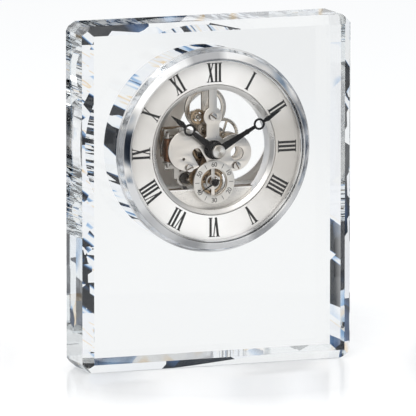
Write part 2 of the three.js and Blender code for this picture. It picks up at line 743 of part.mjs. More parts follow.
function hourWheelPiece() {
  const tubeFront = -(hourHand.front - hand.thick) + SEAT;
  const tube = spindle(pipe.outer, tubeFront, hourWheel.front + hourWheel.thick, SMALL);
  const bore = spindle(pipe.inner, tubeFront - PAST, hourWheel.front + hourWheel.thick + PAST, SMALL);
  return meshOf(
    "hour_wheel",
    joined(wheel(hourWheel, moduleOf.motion, phase.hour), tube).subtract(bore),
    brass,
  );
}

// Hands: a boss, a tapering blade, a ring and a pointed tip, drawn upright and turned to the hour
function openRing(at, outer, hole, front) {
  const bore = disc(hole, front - PAST, hand.thick + 2 * PAST, 0, at, LOBE);
  return disc(outer, front, hand.thick, 0, at, 24).subtract(bore);
}

function blade(points, front) {
  const otherSide = points.map(([x, y]) => [-x, y]).reverse();
  return slab(outlineOf([...points, ...otherSide]), front, hand.thick);
}

function pointed(spec) {
  const front = -spec.front;
  const { ringAt, ringRadius, hole, tip, foot, neck, beyond } = spec;
  const start = ringAt + ringRadius - hand.overlap;
  return joined(
    blade([[foot, 0], [neck, ringAt - ringRadius + hand.overlap]], front),
    openRing(ringAt, ringRadius, hole, front),
    blade([[beyond / 2, start], [beyond, start + hand.swell], [hand.point, tip]], front),
  );
}

function turnedHand(name, solid, angle, axis) {
  const made = meshOf(name, solid, black, axis.x, axis.z);
  made.rotation.y = radians(angle);
  return made;
}

function hands() {
  const hubHole = (radius) => disc(radius, -nut.front, nut.front, 0, 0, SMALL);
  const hubDisc = (spec) => disc(spec.hub, -spec.front, hand.thick, 0, 0, 32);
  const collar = disc(minuteCollar.radius, -minuteHand.front, hand.thick, 0, minuteCollar.at);
  const hour = joined(hubDisc(hourHand), pointed(hourHand)).subtract(hubHole(centreArbor.head + SEAT));
  const minute = joined(hubDisc(minuteHand), pointed(minuteHand), collar)
    .subtract(hubHole(centreArbor.radius + SEAT));
  const { front, half, tail, tip, hub } = secondsHand;
  const seconds = joined(
    disc(hub, -front, hand.thick, 0, 0, LOBE),
    blade([[half, -tail], [half, 0], [hand.point, tip]], -front),
  );
  return { hour, minute, seconds };
}

function handPieces() {
  const made = hands();
  return [
    turnedHand("hour_hand", made.hour, hourHand.angle, origin),
    turnedHand("minute_hand", made.minute, minuteHand.angle, origin),
    turnedHand("seconds_hand", made.seconds, secondsHand.angle, secondsAxis),
  ];
}

function handNut() {
  const back = -(minuteHand.front + SEAT);
  const { front, radius, rim } = nut;
  return meshOf(
    "hand_nut",
    turned([[0, -front], [radius - rim, -front], [radius, rim - front], [radius, back], [0, back]], 24),
    chrome,
  );
}

function settingKnob() {
  const sides = knob.ribs * 2;
  const points = [];
  for (let i = 0; i < sides; i += 1) {
    const angle = (i / sides) * 2 * Math.PI;
    const radius = i % 2 ? knob.radius - knob.groove : knob.radius;
    points.push([radius * Math.cos(angle), radius * Math.sin(angle)]);
  }
  return meshOf("setting_knob", slab(outlineOf(points), knob.front, knob.thick), black);
}

// Motor
function coilBobbin() {
  const { core, length, flange, flangeThick } = coil;
  const reachOut = length / 2 + flangeThick + coil.end;
  const rod = new THREE.CylinderGeometry(core, core, 2 * reachOut, TINY);
  const upright = (geometry, z) => solidOf(geometry.rotateX(Math.PI / 2).translate(coil.x, coil.y, z));
  const end = () => new THREE.CylinderGeometry(flange, flange, flangeThick, SMALL);
  const offset = (length + flangeThick) / 2;
  return meshOf(
    "coil_bobbin",
    joined(upright(rod, coil.z), upright(end(), coil.z + offset), upright(end(), coil.z - offset)),
    steel,
  );
}

// One unbroken wire: a helix round the core, swept as a tube with closed ends.
class Helix extends THREE.Curve {
  constructor(start, end, turns, rise) {
    super();
    Object.assign(this, { start, end, turns, rise });
  }

  getPoint(t, target = new THREE.Vector3()) {
    const angle = 2 * Math.PI * this.turns * t;
    const radius = this.start + (this.end - this.start) * t;
    return target.set(radius * Math.cos(angle), radius * Math.sin(angle), this.rise * t);
  }
}

// A tube along a curve, its rings square to the curve, in one closed geometry.
function tubeAlong(curve, steps, radius, sides) {
  const positions = [];
  const index = [];
  const up = new THREE.Vector3(0, 0, 1);
  for (let i = 0; i <= steps; i += 1) {
    const centreOf = curve.getPoint(i / steps);
    const forward = curve.getTangent(i / steps);
    const out = new THREE.Vector3().crossVectors(forward, up).normalize();
    const over = new THREE.Vector3().crossVectors(out, forward).normalize();
    for (let j = 0; j < sides; j += 1) {
      const angle = (j / sides) * 2 * Math.PI;
      const spot = centreOf.clone();
      spot.addScaledVector(out, radius * Math.cos(angle));
      spot.addScaledVector(over, radius * Math.sin(angle));
      positions.push(spot.x, spot.y, spot.z);
    }
  }
  for (let i = 0; i < steps; i += 1) {
    for (let j = 0; j < sides; j += 1) {
      const [a, b] = [i * sides + j, i * sides + ((j + 1) % sides)];
      index.push(a, b, a + sides, b, b + sides, a + sides);
    }
  }
  for (let j = 1; j < sides - 1; j += 1) {
    const last = steps * sides;
    index.push(0, j + 1, j, last, last + j, last + j + 1);
  }
  const geometry = new THREE.BufferGeometry();
  geometry.setAttribute("position", new THREE.BufferAttribute(new Float32Array(positions), 3));
  geometry.setIndex(index);
  return geometry;
}

function coilWinding() {
  const { radius, wire, turns, sides, steps } = winding;
  const rise = coil.length - 2 * (wire + SEAT);
  const path = new Helix(radius, radius, turns, rise);
  console.log("least gap between turns of the winding, mm:", (rise / turns - 2 * wire).toFixed(2));
  const geometry = tubeAlong(path, turns * steps, wire, sides);
  geometry.translate(coil.x, coil.y, coil.z - rise / 2);
  return meshOf("coil_winding", solidOf(geometry), copper);
}

function statorPlate() {
  const { thick, hole, ring: rim, armHalf: half, legX } = stator;
  const front = statorFront;
  const bore = disc(hole, front - PAST, thick + 2 * PAST, rotorPlace.x, rotorPlace.z, 24);
  const top = coil.z + coil.length / 2 + coil.flangeThick + SEAT;
  const bottom = coil.z - coil.length / 2 - coil.flangeThick - SEAT;
  const flat = (x0, x1, z0, z1) => bar(x0, x1, front, front + thick, z0, z1);
  const left = coil.x - half;
  const body = joined(
    flat(left, legX + half, top, top + 2 * half),
    flat(legX - half, legX + half, rotorPlace.z, top + half),
    flat(left, legX, bottom - 2 * half, bottom),
    disc(rim, front, thick, rotorPlace.x, rotorPlace.z, 28),
  );
  return meshOf("stator_plate", body.subtract(bore), steel);
}

function circuitBoard() {
  const front = backPlateBack + SEAT;
  const { x, z, width, height, thick } = board;
  const body = bar(x - width / 2, x + width / 2, front, front + thick, z - height / 2, z + height / 2);
  const blobFront = front + thick - SINK;
  const blob = disc(chip.radius, blobFront, chip.height + SINK, x + chip.across, z - chip.down);
  const room = disc(screw.head + SEAT, front - PAST, thick + 2 * PAST, -sidePillar.x, sidePillar.z);
  return meshOf("circuit_board", joined(body, blob).subtract(room), green);
}

function quartzCan() {
  const front = backPlateBack + 2 * SEAT + board.thick;
  const geometry = new THREE.CylinderGeometry(quartz.radius, quartz.radius, quartz.length, 12);
  geometry.rotateX(Math.PI / 2);
  geometry.translate(quartz.x, front + quartz.radius, board.z + quartz.up);
  return meshOf("quartz_can", solidOf(geometry), chrome);
}

// Battery and its tray
const boxTop = cell.z + cell.radius + SEAT + box.slack + box.wall;
const boxFloor = cell.z - cell.radius - SEAT;
const cellHalf = cell.length / 2;
const roomHalf = cellHalf + box.endRoom;

function cellRoom(front, back) {
  return bar(-roomHalf, roomHalf, front, back, boxFloor, boxTop - box.wall);
}

function batteryBox() {
  const back = can.back - rearWall - SEAT;
  const half = roomHalf + box.wall;
  const shell = bar(-half, half, box.front, back, boxFloor - box.wall, boxTop);
  return meshOf("battery_box", shell.subtract(cellRoom(box.front + box.wall, back + PAST)), cream);
}

function battery() {
  const { radius, length, nub, nubLength, z, y } = cell;
  const body = new THREE.CylinderGeometry(radius, radius, length - nubLength, 32);
  body.rotateZ(Math.PI / 2);
  body.translate(-nubLength / 2, y, z);
  const tip = new THREE.CylinderGeometry(nub, nub, nubLength + 2 * SINK, SMALL);
  tip.rotateZ(Math.PI / 2);
  tip.translate(length / 2 - nubLength / 2 - SINK, y, z);
  return meshOf("battery", joined(solidOf(body), solidOf(tip)), satin);
}

function positiveContact() {
  const x = roomHalf - SEAT - contact.thick;
  const half = contact.width / 2;
  const top = cell.z + contact.over;
  const leaf = bar(x, x + contact.thick, cell.y - half, cell.y + half, boxFloor + SEAT, top);
  const domeLength = x - cellHalf - SEAT + SINK;
  const dome = new THREE.CylinderGeometry(contact.dome, contact.domeFoot, domeLength, SMALL);
  dome.rotateZ(Math.PI / 2);
  dome.translate((x + cellHalf + SEAT + SINK) / 2, cell.y, cell.z);
  return meshOf("positive_contact", joined(leaf, solidOf(dome)), steel);
}

function batterySpring() {
  const { big, small, wire, curls, steps, sides } = spring;
  const rise = roomHalf - cellHalf - 2 * SEAT - 2 * wire;
  const path = new Helix(big, small, curls, rise);
  const geometry = tubeAlong(path, curls * steps, wire, sides);
  geometry.rotateY(Math.PI / 2);
  geometry.translate(-roomHalf + SEAT + wire, cell.y, cell.z);
  return meshOf("battery_spring", solidOf(geometry), steel);
}

// The clock's group sits in the bore, its origin on the crystal's front face
const insert = new THREE.Group();
insert.position.set(clockPlace.x, -block.depth / 2, clockPlace.z);
insert.add(
  retainingBand(),
  insertCan(),
  bezelPiece(),
  lensSpacer(),
  lensPiece(),
  dialRing(),
  dialLip(),
  rearPane(),
  frontPlate(),
  backPlate(),
  ...pillars(),
  ...screws(),
  secondsDialRing(),
  centreBush(),
  ...train(),
  ...displayWheels(),
  minuteWheelPiece(),
  hourWheelPiece(),
  ...handPieces(),
  handNut(),
  settingKnob(),
  coilBobbin(),
  coilWinding(),
  statorPlate(),
  circuitBoard(),
  quartzCan(),
  batteryBox(),
  battery(),
  positiveContact(),
  batterySpring(),
);

const clock = new THREE.Group();
clock.add(crystalBlock(), insert);
export default clock;
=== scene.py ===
import json
import math

import bmesh
import bpy
from mathutils import Matrix, Vector
from mathutils.geometry import delaunay_2d_cdt


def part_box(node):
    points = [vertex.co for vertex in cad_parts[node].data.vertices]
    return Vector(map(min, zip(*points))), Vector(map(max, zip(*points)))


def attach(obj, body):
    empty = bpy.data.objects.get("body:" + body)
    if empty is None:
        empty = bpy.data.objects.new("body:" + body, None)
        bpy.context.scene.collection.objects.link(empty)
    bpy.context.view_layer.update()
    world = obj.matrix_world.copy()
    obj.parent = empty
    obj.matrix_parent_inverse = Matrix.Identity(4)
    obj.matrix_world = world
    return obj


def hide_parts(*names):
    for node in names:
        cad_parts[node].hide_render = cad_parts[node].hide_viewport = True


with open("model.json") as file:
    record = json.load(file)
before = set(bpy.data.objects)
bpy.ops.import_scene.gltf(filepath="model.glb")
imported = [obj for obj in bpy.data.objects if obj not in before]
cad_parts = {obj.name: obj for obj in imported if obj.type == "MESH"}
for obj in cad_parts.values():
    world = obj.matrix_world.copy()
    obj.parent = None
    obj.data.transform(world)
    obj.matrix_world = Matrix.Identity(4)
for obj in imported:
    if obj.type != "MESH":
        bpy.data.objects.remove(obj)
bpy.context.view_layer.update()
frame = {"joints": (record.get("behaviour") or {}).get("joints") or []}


# Crystal block
# Solid optical glass, sawn, ground flat and polished, with a 4 mm bevel on all twelve edges.
# A diamond core drill opens the bore for the clock, and its wall is polished clear as well.
MM = 0.001
axis_of = {joint["child"]: Vector(joint["pos_m"]) / MM for joint in frame["joints"] if "pos_m" in joint}
clock_origin = axis_of["centre_arbor"]
block_low, block_high = (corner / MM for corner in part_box("crystal_block"))
block_bevel = 4.0
bore_radius = 44.0


class Value:
    """A number that changes over a surface, held by the socket that gives it."""

    def __init__(self, tree, socket):
        self.tree = tree
        self.socket = socket

    def made_by(self, operation, first, second=0.0):
        node = self.tree.nodes.new("ShaderNodeMath")
        node.operation = operation
        for slot, part in zip(node.inputs, (first, second)):
            if isinstance(part, Value):
                self.tree.links.new(part.socket, slot)
            else:
                slot.default_value = part
        return Value(self.tree, node.outputs[0])

    def __add__(self, other):
        return self.made_by("ADD", self, other)

    def __radd__(self, other):
        return self.made_by("ADD", other, self)

    def __sub__(self, other):
        return self.made_by("SUBTRACT", self, other)

    def __rsub__(self, other):
        return self.made_by("SUBTRACT", other, self)

    def __mul__(self, other):
        return self.made_by("MULTIPLY", self, other)

    def __rmul__(self, other):
        return self.made_by("MULTIPLY", other, self)

    def __truediv__(self, other):
        return self.made_by("DIVIDE", self, other)

    def __pow__(self, other):
        return self.made_by("POWER", self, other)

    def __gt__(self, other):
        return self.made_by("GREATER_THAN", self, other)

    def __lt__(self, other):
        return self.made_by("LESS_THAN", self, other)

    def sine(self):
        return self.made_by("SINE", self)

    def cosine(self):
        return self.made_by("COSINE", self)

    def size(self):
        return self.made_by("ABSOLUTE", self)

    def at_least(self, other):
        return self.made_by("MAXIMUM", self, other)

    def at_most(self, other):
        return self.made_by("MINIMUM", self, other)

    def turn_from(self, other):
        """The angle of a point that lies this far to one side and the other value ahead."""
        return self.made_by("ARCTAN2", self, other)


class Finish:
    """A surface finish: the nodes of one material, or of the studio round the clock."""

    def __init__(self, name, world=False):
        self.made = (bpy.data.worlds if world else bpy.data.materials).new(name)
        self.made.use_nodes = True
        self.tree = self.made.node_tree
        self.tree.nodes.clear()

    def node(self, kind, settings=None, sockets=None, output=0):
        made = self.tree.nodes.new(kind)
        for key, value in (settings or {}).items():
            if key == "stops":
                for _ in value[2:]:
                    made.color_ramp.elements.new(0.5)
                for element, (place, colour) in zip(made.color_ramp.elements, value):
                    element.position = place
                    element.color = (*colour, 1.0)
            else:
                setattr(made, key, value)
        for key, value in (sockets or {}).items():
            slot = made.inputs[key]
            if isinstance(value, Value):
                self.tree.links.new(value.socket, slot)
            elif isinstance(value, tuple) and len(value) == 3 and slot.type == "RGBA":
                slot.default_value = (*value, 1.0)
            else:
                slot.default_value = value
        return Value(self.tree, made.outputs[output]) if made.outputs else None

    def place(self):
        """Where a point is on the piece, in metres, as three values and as one vector."""
        spot = self.node("ShaderNodeTexCoord", output="Object")
        return [self.node("ShaderNodeSeparateXYZ", None, {0: spot}, i) for i in range(3)] + [spot]

    def round_axis(self, axis):
        """Distance in mm and angle in turns round an axis that lies along the clock's depth."""
        x, _, z, _ = self.place()
        across = x / MM - axis.x
        up = z / MM - axis.z
        far = (across * across + up * up) ** 0.5
        return far, up.turn_from(across) / (2 * math.pi)

    def grain(self, scale, detail=2.0, stretch=(1.0, 1.0, 1.0)):
        """Fine noise over the surface, from 0 to 1, in cycles per metre."""
        spot = self.place()[3]
        shaped = self.node("ShaderNodeVectorMath", {"operation": "MULTIPLY"}, {0: spot, 1: stretch})
        return self.node("ShaderNodeTexNoise", None, {"Vector": shaped, "Scale": scale, "Detail": detail})

    def blend(self, share, first, second):
        """A colour part of the way from the first to the second."""
        return self.node("ShaderNodeMix", {"data_type": "RGBA"}, {0: share, 6: first, 7: second}, 2)

    def ramp(self, share, *stops):
        """A colour that runs through stops, each a place from 0 to 1 and its colour."""
        return self.node("ShaderNodeValToRGB", {"stops": stops}, {0: share})

    def rings(self, far, scale, detail):
        """Fine turning marks, from 0 to 1, that depend only on the distance from the axis."""
        marks = {"W": far, "Scale": scale, "Detail": detail}
        return self.node("ShaderNodeTexNoise", {"noise_dimensions": "1D"}, marks)

    def light_path(self, output):
        return self.node("ShaderNodeLightPath", output=output)

    def relief(self, height, depth):
        """A normal from a height that runs from 0 to 1, with its full depth in metres."""
        return self.node("ShaderNodeBump", None, {"Height": height, "Distance": depth})

    def mixed(self, share, first, second):
        return self.node("ShaderNodeMixShader", None, {0: share, 1: first, 2: second})

    def done(self, surface):
        world = isinstance(self.made, bpy.types.World)
        self.node(f"ShaderNodeOutput{'World' if world else 'Material'}", None, {"Surface": surface})
        return self.made

    def surface(self, colour, rough, metal=0.0, height=None, depth=0.0, gloss=0.5):
        """Ends the finish as one opaque surface, with fine relief where a height is given."""
        sockets = {"Base Color": colour, "Roughness": rough, "Metallic": metal, "Specular IOR Level": gloss}
        if height is not None:
            sockets["Normal"] = self.relief(height, depth)
        return self.done(self.node("ShaderNodeBsdfPrincipled", None, sockets))


def lit_through(finish, glass, tint):
    """Glass that lamps shine through, so that what lies behind it is lit."""
    clear = finish.node("ShaderNodeBsdfTransparent", None, {"Color": tint})
    return finish.done(finish.mixed(finish.light_path("Is Shadow Ray"), glass, clear))


def crystal_glass():
    finish = Finish("crystal_glass")
    whole = finish.node("ShaderNodeBsdfGlass", None, {
        "Color": (0.958, 0.966, 0.969),
        "IOR": 1.53,
        "Roughness": finish.grain(60.0) * 0.004,
    })
    return lit_through(finish, whole, tint=(0.56, 0.58, 0.6))


def shown(mesh, name, body, slot, material, *nodes, smooth=30.0):
    """Puts a mesh in the scene as one piece of the clock, in place of its CAD nodes."""
    item = added(bpy.data.objects.new(name, mesh))
    mesh.materials.clear()
    mesh.materials.append(material)
    for face in mesh.polygons:
        face.use_smooth = True
    mesh.set_sharp_from_angle(angle=math.radians(smooth))
    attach(item, body)
    if nodes:
        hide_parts(*nodes)
    return item


def added(item):
    """Puts an object in the scene."""
    bpy.context.scene.collection.objects.link(item)
    return item


def kept_side(bm, point, normal):
    """Cuts a closed body by a plane and closes the cut with a flat face."""
    parts = bm.verts[:] + bm.edges[:] + bm.faces[:]
    cut = bmesh.ops.bisect_plane(bm, geom=parts, plane_co=point, plane_no=normal, clear_outer=True)
    edges = [part for part in cut["geom_cut"] if isinstance(part, bmesh.types.BMEdge)]
    bmesh.ops.holes_fill(bm, edges=edges)


def kept_mesh(bm):
    mesh = bpy.data.meshes.new("piece")
    bm.to_mesh(mesh)
    bm.free()
    return mesh


def taken_mesh(item):
    """The mesh that a work object gives once its modifiers or its curve are worked out."""
    graph = bpy.context.evaluated_depsgraph_get()
    mesh = bpy.data.meshes.new_from_object(item.evaluated_get(graph))
    bpy.data.objects.remove(item)
    return mesh


def joined_mesh(first, second, operation):
    """The mesh that is left after a cut, or made by a weld, of two closed meshes."""
    items = [added(bpy.data.objects.new("work", mesh)) for mesh in (first, second)]
    step = items[0].modifiers.new("cut", "BOOLEAN")
    step.operation = operation
    step.object = items[1]
    step.solver = "EXACT"
    made = taken_mesh(items[0])
    bpy.data.objects.remove(items[1])
    return made


def circle(x, z, radius, sides=48):
    """A round outline in mm, as the clock is seen from the front."""
    turns = [2 * math.pi * i / sides for i in range(sides)]
    return [(x + radius * math.cos(turn), z + radius * math.sin(turn)) for turn in turns]


def ring_mesh(profile, sides, axis=None, closed=True):
    """A turned piece: a profile of (radius, y) points in mm, swept round the clock's axis."""
    centre = axis or clock_origin
    bm = bmesh.new()
    rows = []
    for radius, depth in profile:
        y = (clock_origin.y + depth) * MM
        if radius < 1e-6:
            rows.append([bm.verts.new((centre.x * MM, y, centre.z * MM))])
            continue
        row = []
        for x, z in circle(centre.x, centre.z, radius, sides):
            row.append(bm.verts.new((x * MM, y, z * MM)))
        rows.append(row)
    pairs = list(zip(rows, rows[1:]))
    if closed:
        pairs.append((rows[-1], rows[0]))
    for low, high in pairs:
        for i in range(sides):
            corners = [low[i % len(low)], low[(i + 1) % len(low)]]
            corners += [high[(i + 1) % len(high)], high[i % len(high)]]
            corners = list(dict.fromkeys(corners))
            if len(corners) > 2:
                bm.faces.new(corners)
    bmesh.ops.recalc_face_normals(bm, faces=bm.faces[:])
    return kept_mesh(bm)


def softened(points, amount, steps=3):
    """A profile with each sharp corner rounded over, as polishing leaves it."""
    made = []
    count = len(points)
    for i in range(count):
        before, here, after = (Vector(points[(i + k) % count]) for k in (-1, 0, 1))
        if here.x < 1e-6:
            made.append(tuple(here))
            continue
        reach = min(amount, 0.45 * (before - here).length, 0.45 * (after - here).length)
        start = here + (before - here).normalized() * reach
        end = here + (after - here).normalized() * reach
        for k in range(steps + 1):
            t = k / steps
            made.append(tuple(start * (1 - t) ** 2 + here * 2 * t * (1 - t) + end * t ** 2))
    return made


def corner_bm(low, high):
    """A plain block between two corners, in mm, still open to further work."""
    bm = bmesh.new()
    bmesh.ops.create_cube(bm, size=1.0)
    for vert in bm.verts:
        vert.co = Vector([low[i] if vert.co[i] < 0 else high[i] for i in range(3)]) * MM
    return bm


def cut_block():
    bm = corner_bm(block_low, block_high)
    size = block_high - block_low
    slant = math.sqrt(0.5)
    for first, second in ((0, 1), (0, 2), (1, 2)):
        for a, b in ((-1, -1), (-1, 1), (1, -1), (1, 1)):
            normal = Vector((0, 0, 0))
            normal[first] = a * slant
            normal[second] = b * slant
            point = (block_high + block_low) / 2
            point[first] += a * (size[first] - block_bevel) / 2
            point[second] += b * (size[second] - block_bevel) / 2
            kept_side(bm, point * MM, normal)
    bore = [(0, -10), (bore_radius, -10), (bore_radius, 40), (0, 40)]
    return joined_mesh(kept_mesh(bm), ring_mesh(bore, 256, closed=False), "DIFFERENCE")


glass = crystal_glass()
shown(cut_block(), "block_of_crystal", "block", "crystal", glass, "crystal_block", smooth=15.0)


# Shell of the clock
# A drawn metal can with a front web and a rear wall, plain grey inside, with a rubber band round it.
# The band grips the bore, so that the clock pushes in from the front and pulls out again.
can_radius = 42.0
can_wall = 0.8
rear_face = 22.5
window_at = (13.0, 3.0)
window_radius = 21.0
knob_hole = (0, 0, 1.4)
arm_screw_z = 33.8
tray_wall = 1.2


def reach_of(node):
    """The lowest and the highest corner of a solid, in mm from the clock's centre."""
    return [corner / MM - clock_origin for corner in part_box(node)]


def at(x, z):
    """A point of the clock's face, in mm across and up from its centre."""
    return clock_origin + Vector((x, 0, z))


def steel_finish(name, colour, rough, spread, brushed=(1, 1, 1), relief=4e-6, shine=1.0):
    """Worked metal: its colour, its gloss and its fine tool marks vary a little over the piece."""
    finish = Finish(name)
    marks = finish.grain(2600.0, 3.0, brushed)
    cloud = finish.grain(90.0)
    tone = finish.blend(cloud, tuple(0.86 * part for part in colour), colour)
    return finish.surface(tone, rough - spread / 2 + marks * spread, shine, marks, relief)


def cut_by(mesh, *tools):
    for tool in tools:
        mesh = joined_mesh(mesh, tool, "DIFFERENCE")
    return mesh


def box_mesh(low, high):
    """A block cutter between two corners, in mm from the clock's centre."""
    return kept_mesh(corner_bm(clock_origin + Vector(low), clock_origin + Vector(high)))


def drill(x, z, radius, front, back, sides=64):
    """A round cutter that runs from front to back."""
    profile = [(0, front), (radius, front), (radius, back), (0, back)]
    return ring_mesh(profile, sides, at(x, z), closed=False)


def insert_shell():
    inner = can_radius - can_wall
    profile = [
        (38.5, -0.9), (can_radius, -0.9), (can_radius, rear_face), (0, rear_face), (0, rear_face - 1),
        (inner, rear_face - 1), (inner, 1.8), (31.5, 1.8), (31.5, 0.8), (38.5, 0.8),
    ]
    mesh = ring_mesh(softened(profile, 0.25, 2), 160)
    low, high = reach_of("battery_box")
    inset = Vector((tray_wall, 0, tray_wall))
    slot_low, slot_high = low + inset, high - inset
    slot = box_mesh((slot_low.x, 20, slot_low.z), (slot_high.x, 25, slot_high.z))
    window = drill(*window_at, window_radius, 20, 25, 96)
    return cut_by(mesh, window, slot, drill(*knob_hole, 20, 25, 24), drill(0, arm_screw_z, 1.0, 0.5, 2, 16))


can_metal = steel_finish("can_metal", (0.95, 0.925, 0.895), 0.3, 0.1, (1, 0.1, 1), shine=0.85)
rubber = steel_finish("band_rubber", (0.035, 0.035, 0.038), 0.7, 0.15, relief=2e-5, shine=0.0)
shown(insert_shell(), "insert_shell", "insert", "satin_metal", can_metal, "insert_can")
band_low, band_high = (corner.y for corner in reach_of("retaining_band"))
band_profile = [(42.3, band_low), (43.7, band_low), (43.7, band_high), (42.3, band_high)]
shown(ring_mesh(softened(band_profile, 0.5), 160), "grip_band", "insert", "band", rubber, "retaining_band")


# Bezel
# A turned brass ring, polished and chrome-plated, with a thin flange that lies on the crystal.
# It is pressed over the rim of the can and holds the lens, its spacer and the dial.
def chrome_finish(name, colour, rough):
    finish = Finish(name)
    cloud = finish.grain(140.0, 4.0)
    tone = finish.blend(cloud, tuple(0.95 * part for part in colour), colour)
    return finish.surface(tone, rough * 0.6 + cloud * rough * 0.8, 1.0, cloud, 2e-6)


def sheen_painted_chrome(name, bright, dark, rough):
    """Chrome with painted sheen: light and dark sectors round the centre are painted into its colour."""
    finish = Finish(name)
    _, turn = finish.round_axis(clock_origin)
    angle = turn * 2 * math.pi
    wide = (angle * 5 + 1.0).cosine() * 0.3
    small = (angle * 9 + 0.4).cosine() * 0.25
    cloud = finish.grain(140.0, 4.0)
    sheen_sectors = finish.ramp(wide + small + 0.6, (0.3, dark), (0.62, bright))
    return finish.surface(sheen_sectors, rough * 0.6 + cloud * rough * 0.8, 1.0, cloud, 2e-6)


# The bezel's and spacer's chrome carries painted sheen: light and dark sectors round the clock's centre.
polished = sheen_painted_chrome("polished_chrome", (0.88, 0.885, 0.89), (0.46, 0.465, 0.475), 0.12)
bezel_profile = [
    (40.3, -1.2), (40.3, -6.4), (40.7, -6.4), (43.3, -4.7), (44.5, -1.0), (45.0, -1.0), (45.0, -0.3),
    (42.3, -0.3), (42.3, -1.2),
]
shown(ring_mesh(softened(bezel_profile, 0.35, 4), 256), "bezel_ring", "insert", "chrome", polished, "bezel",
      smooth=50.0)


# Rear window
# A clear pane behind the movement, held in the can's rear wall, cut straight above the battery tray.
def pane_finish(name, tint, coating):
    """Clear glass, of which a thin coating takes away most of the mirror image."""
    finish = Finish(name)
    facing = finish.node("ShaderNodeFresnel", None, {"IOR": 1.49})
    mirror = finish.node("ShaderNodeBsdfGlossy", None, {"Color": (1, 1, 1), "Roughness": 0.02})
    clear = finish.node("ShaderNodeBsdfTransparent", None, {"Color": tint})
    film = finish.grain(30.0) * 0.1 + coating
    return finish.done(finish.mixed(facing * film, clear, mirror))


clear_pane = pane_finish("clear_pane", (0.99, 0.993, 0.993), 0.5)


def rear_pane():
    disc = drill(*window_at, window_radius + 1.5, 20.2, 21.2, 128)
    top = reach_of("battery_box")[1].z
    return cut_by(disc, drill(*knob_hole, 19, 22, 24), box_mesh((-60, 19, -60), (60, 22, top + 0.3)))


shown(rear_pane(), "window_pane", "insert", "lens", clear_pane, "rear_window")


# Dial
# A stamped ring with a satin lacquered face, brushed round the centre; its light and dark sectors are
# painted sheen, and its darkening towards the upper right is painted shade.
# Twelve numerals are printed on it in black, radially, with their feet to the centre.
dial_inner = 28.8
dial_outer = 40.0
dial_face = -2.0


def satin_dial():
    finish = Finish("satin_dial")
    far, turn = finish.round_axis(clock_origin)
    angle = turn * 2 * math.pi
    # Painted sheen: two light and two dark sectors round the centre.
    sheen_sectors = (angle * 2 + 0.35).cosine() * -0.3
    # Painted shade: the face darkens towards the upper right and lightens towards the lower left.
    lean = angle.cosine() * -0.12 - angle.sine() * 0.08
    swirl = finish.node("ShaderNodeTexNoise", {"noise_dimensions": "2D"}, {
        "Vector": finish.node("ShaderNodeCombineXYZ", None, {0: turn * 6.0, 1: far * 0.02}),
        "Scale": 3.0,
        "Detail": 4.0,
    })
    share = sheen_sectors + lean + 0.5 + (swirl - 0.5) * 0.3
    tone = finish.ramp(share, (0.12, (0.56, 0.535, 0.505)), (0.45, (0.77, 0.75, 0.725)),
                       (0.85, (0.96, 0.95, 0.94)))
    rings = finish.rings(far, 9.0, 3.0)
    return finish.surface(tone, rings * 0.12 + 0.36, 0.35, rings, 6e-6)


def print_black(name):
    finish = Finish(name)
    speck = finish.grain(4000.0)
    tone = finish.blend(speck, (0.008, 0.008, 0.009), (0.02, 0.02, 0.021))
    return finish.surface(tone, speck * 0.1 + 0.45)


def loops_of(adds, cuts=()):
    """The outlines that are left when flat shapes are joined and others cut from them."""
    shapes = [*adds, *cuts]
    coords = [Vector(point) for shape in shapes for point in shape]
    faces = []
    start = 0
    for shape in shapes:
        faces.append(list(range(start, start + len(shape))))
        start += len(shape)
    verts, _, cells, _, _, owners = delaunay_2d_cdt(coords, [], faces, 0, 1e-5)
    kept = []
    for cell, owner in zip(cells, owners):
        if any(i < len(adds) for i in owner) and not any(i >= len(adds) for i in owner):
            kept.append(cell)
    border = {}
    edges = {(cell[i], cell[(i + 1) % len(cell)]) for cell in kept for i in range(len(cell))}
    for a, b in edges:
        if (b, a) not in edges:
            border.setdefault(a, []).append(b)
    loops = []
    while border:
        first = next(iter(border))
        loop = []
        here = first
        while not loop or here != first:
            loop.append(here)
            after = border[here].pop()
            if not border[here]:
                del border[here]
            here = after
        loops.append([verts[i].copy() for i in loop])
    return loops


def oblong(x0, x1, z0, z1):
    return [(x0, z0), (x1, z0), (x1, z1), (x0, z1)]


def turned_by(points, degrees, x=0.0, z=0.0):
    """Points turned clockwise as seen from the front, then moved."""
    cos, sin = math.cos(math.radians(degrees)), math.sin(math.radians(degrees))
    return [(x + px * cos + pz * sin, z - px * sin + pz * cos) for px, pz in points]


def welded(mesh, reach=1e-7):
    """Joins points that lie on each other and turns every face outward."""
    bm = bmesh.new()
    bm.from_mesh(mesh)
    bmesh.ops.remove_doubles(bm, verts=bm.verts[:], dist=reach)
    bmesh.ops.recalc_face_normals(bm, faces=bm.faces[:])
    bm.to_mesh(mesh)
    bm.free()
    return mesh


def plate_mesh(loops, front, thick, edge=0.0, rounds=2):
    """A flat piece cut from sheet, from outlines in mm, with its edges broken by a small radius."""
    flat = bpy.data.curves.new("flat", "CURVE")
    flat.dimensions = "2D"
    flat.fill_mode = "BOTH"
    flat.extrude = (thick / 2 - edge) * MM
    flat.bevel_depth = edge * MM
    flat.bevel_resolution = rounds
    flat.offset = -edge * MM
    for loop in loops:
        line = flat.splines.new("POLY")
        line.points.add(len(loop) - 1)
        for point, spot in zip(line.points, loop):
            point.co = (spot[0] * MM, spot[1] * MM, 0, 1)
        line.use_cyclic_u = True
    mesh = taken_mesh(added(bpy.data.objects.new("work", flat)))
    stand = Matrix.Rotation(math.radians(90), 4, "X")
    move = Matrix.Translation((clock_origin + Vector((0, front + thick / 2, 0))) * MM)
    mesh.transform(move @ stand)
    return welded(mesh)


def stroke(x0, z0, x1, z1, width):
    """A straight stroke between two heights, cut level at both ends."""
    half = width / 2
    return [(x0 - half, z0), (x0 + half, z0), (x1 + half, z1), (x1 - half, z1)]


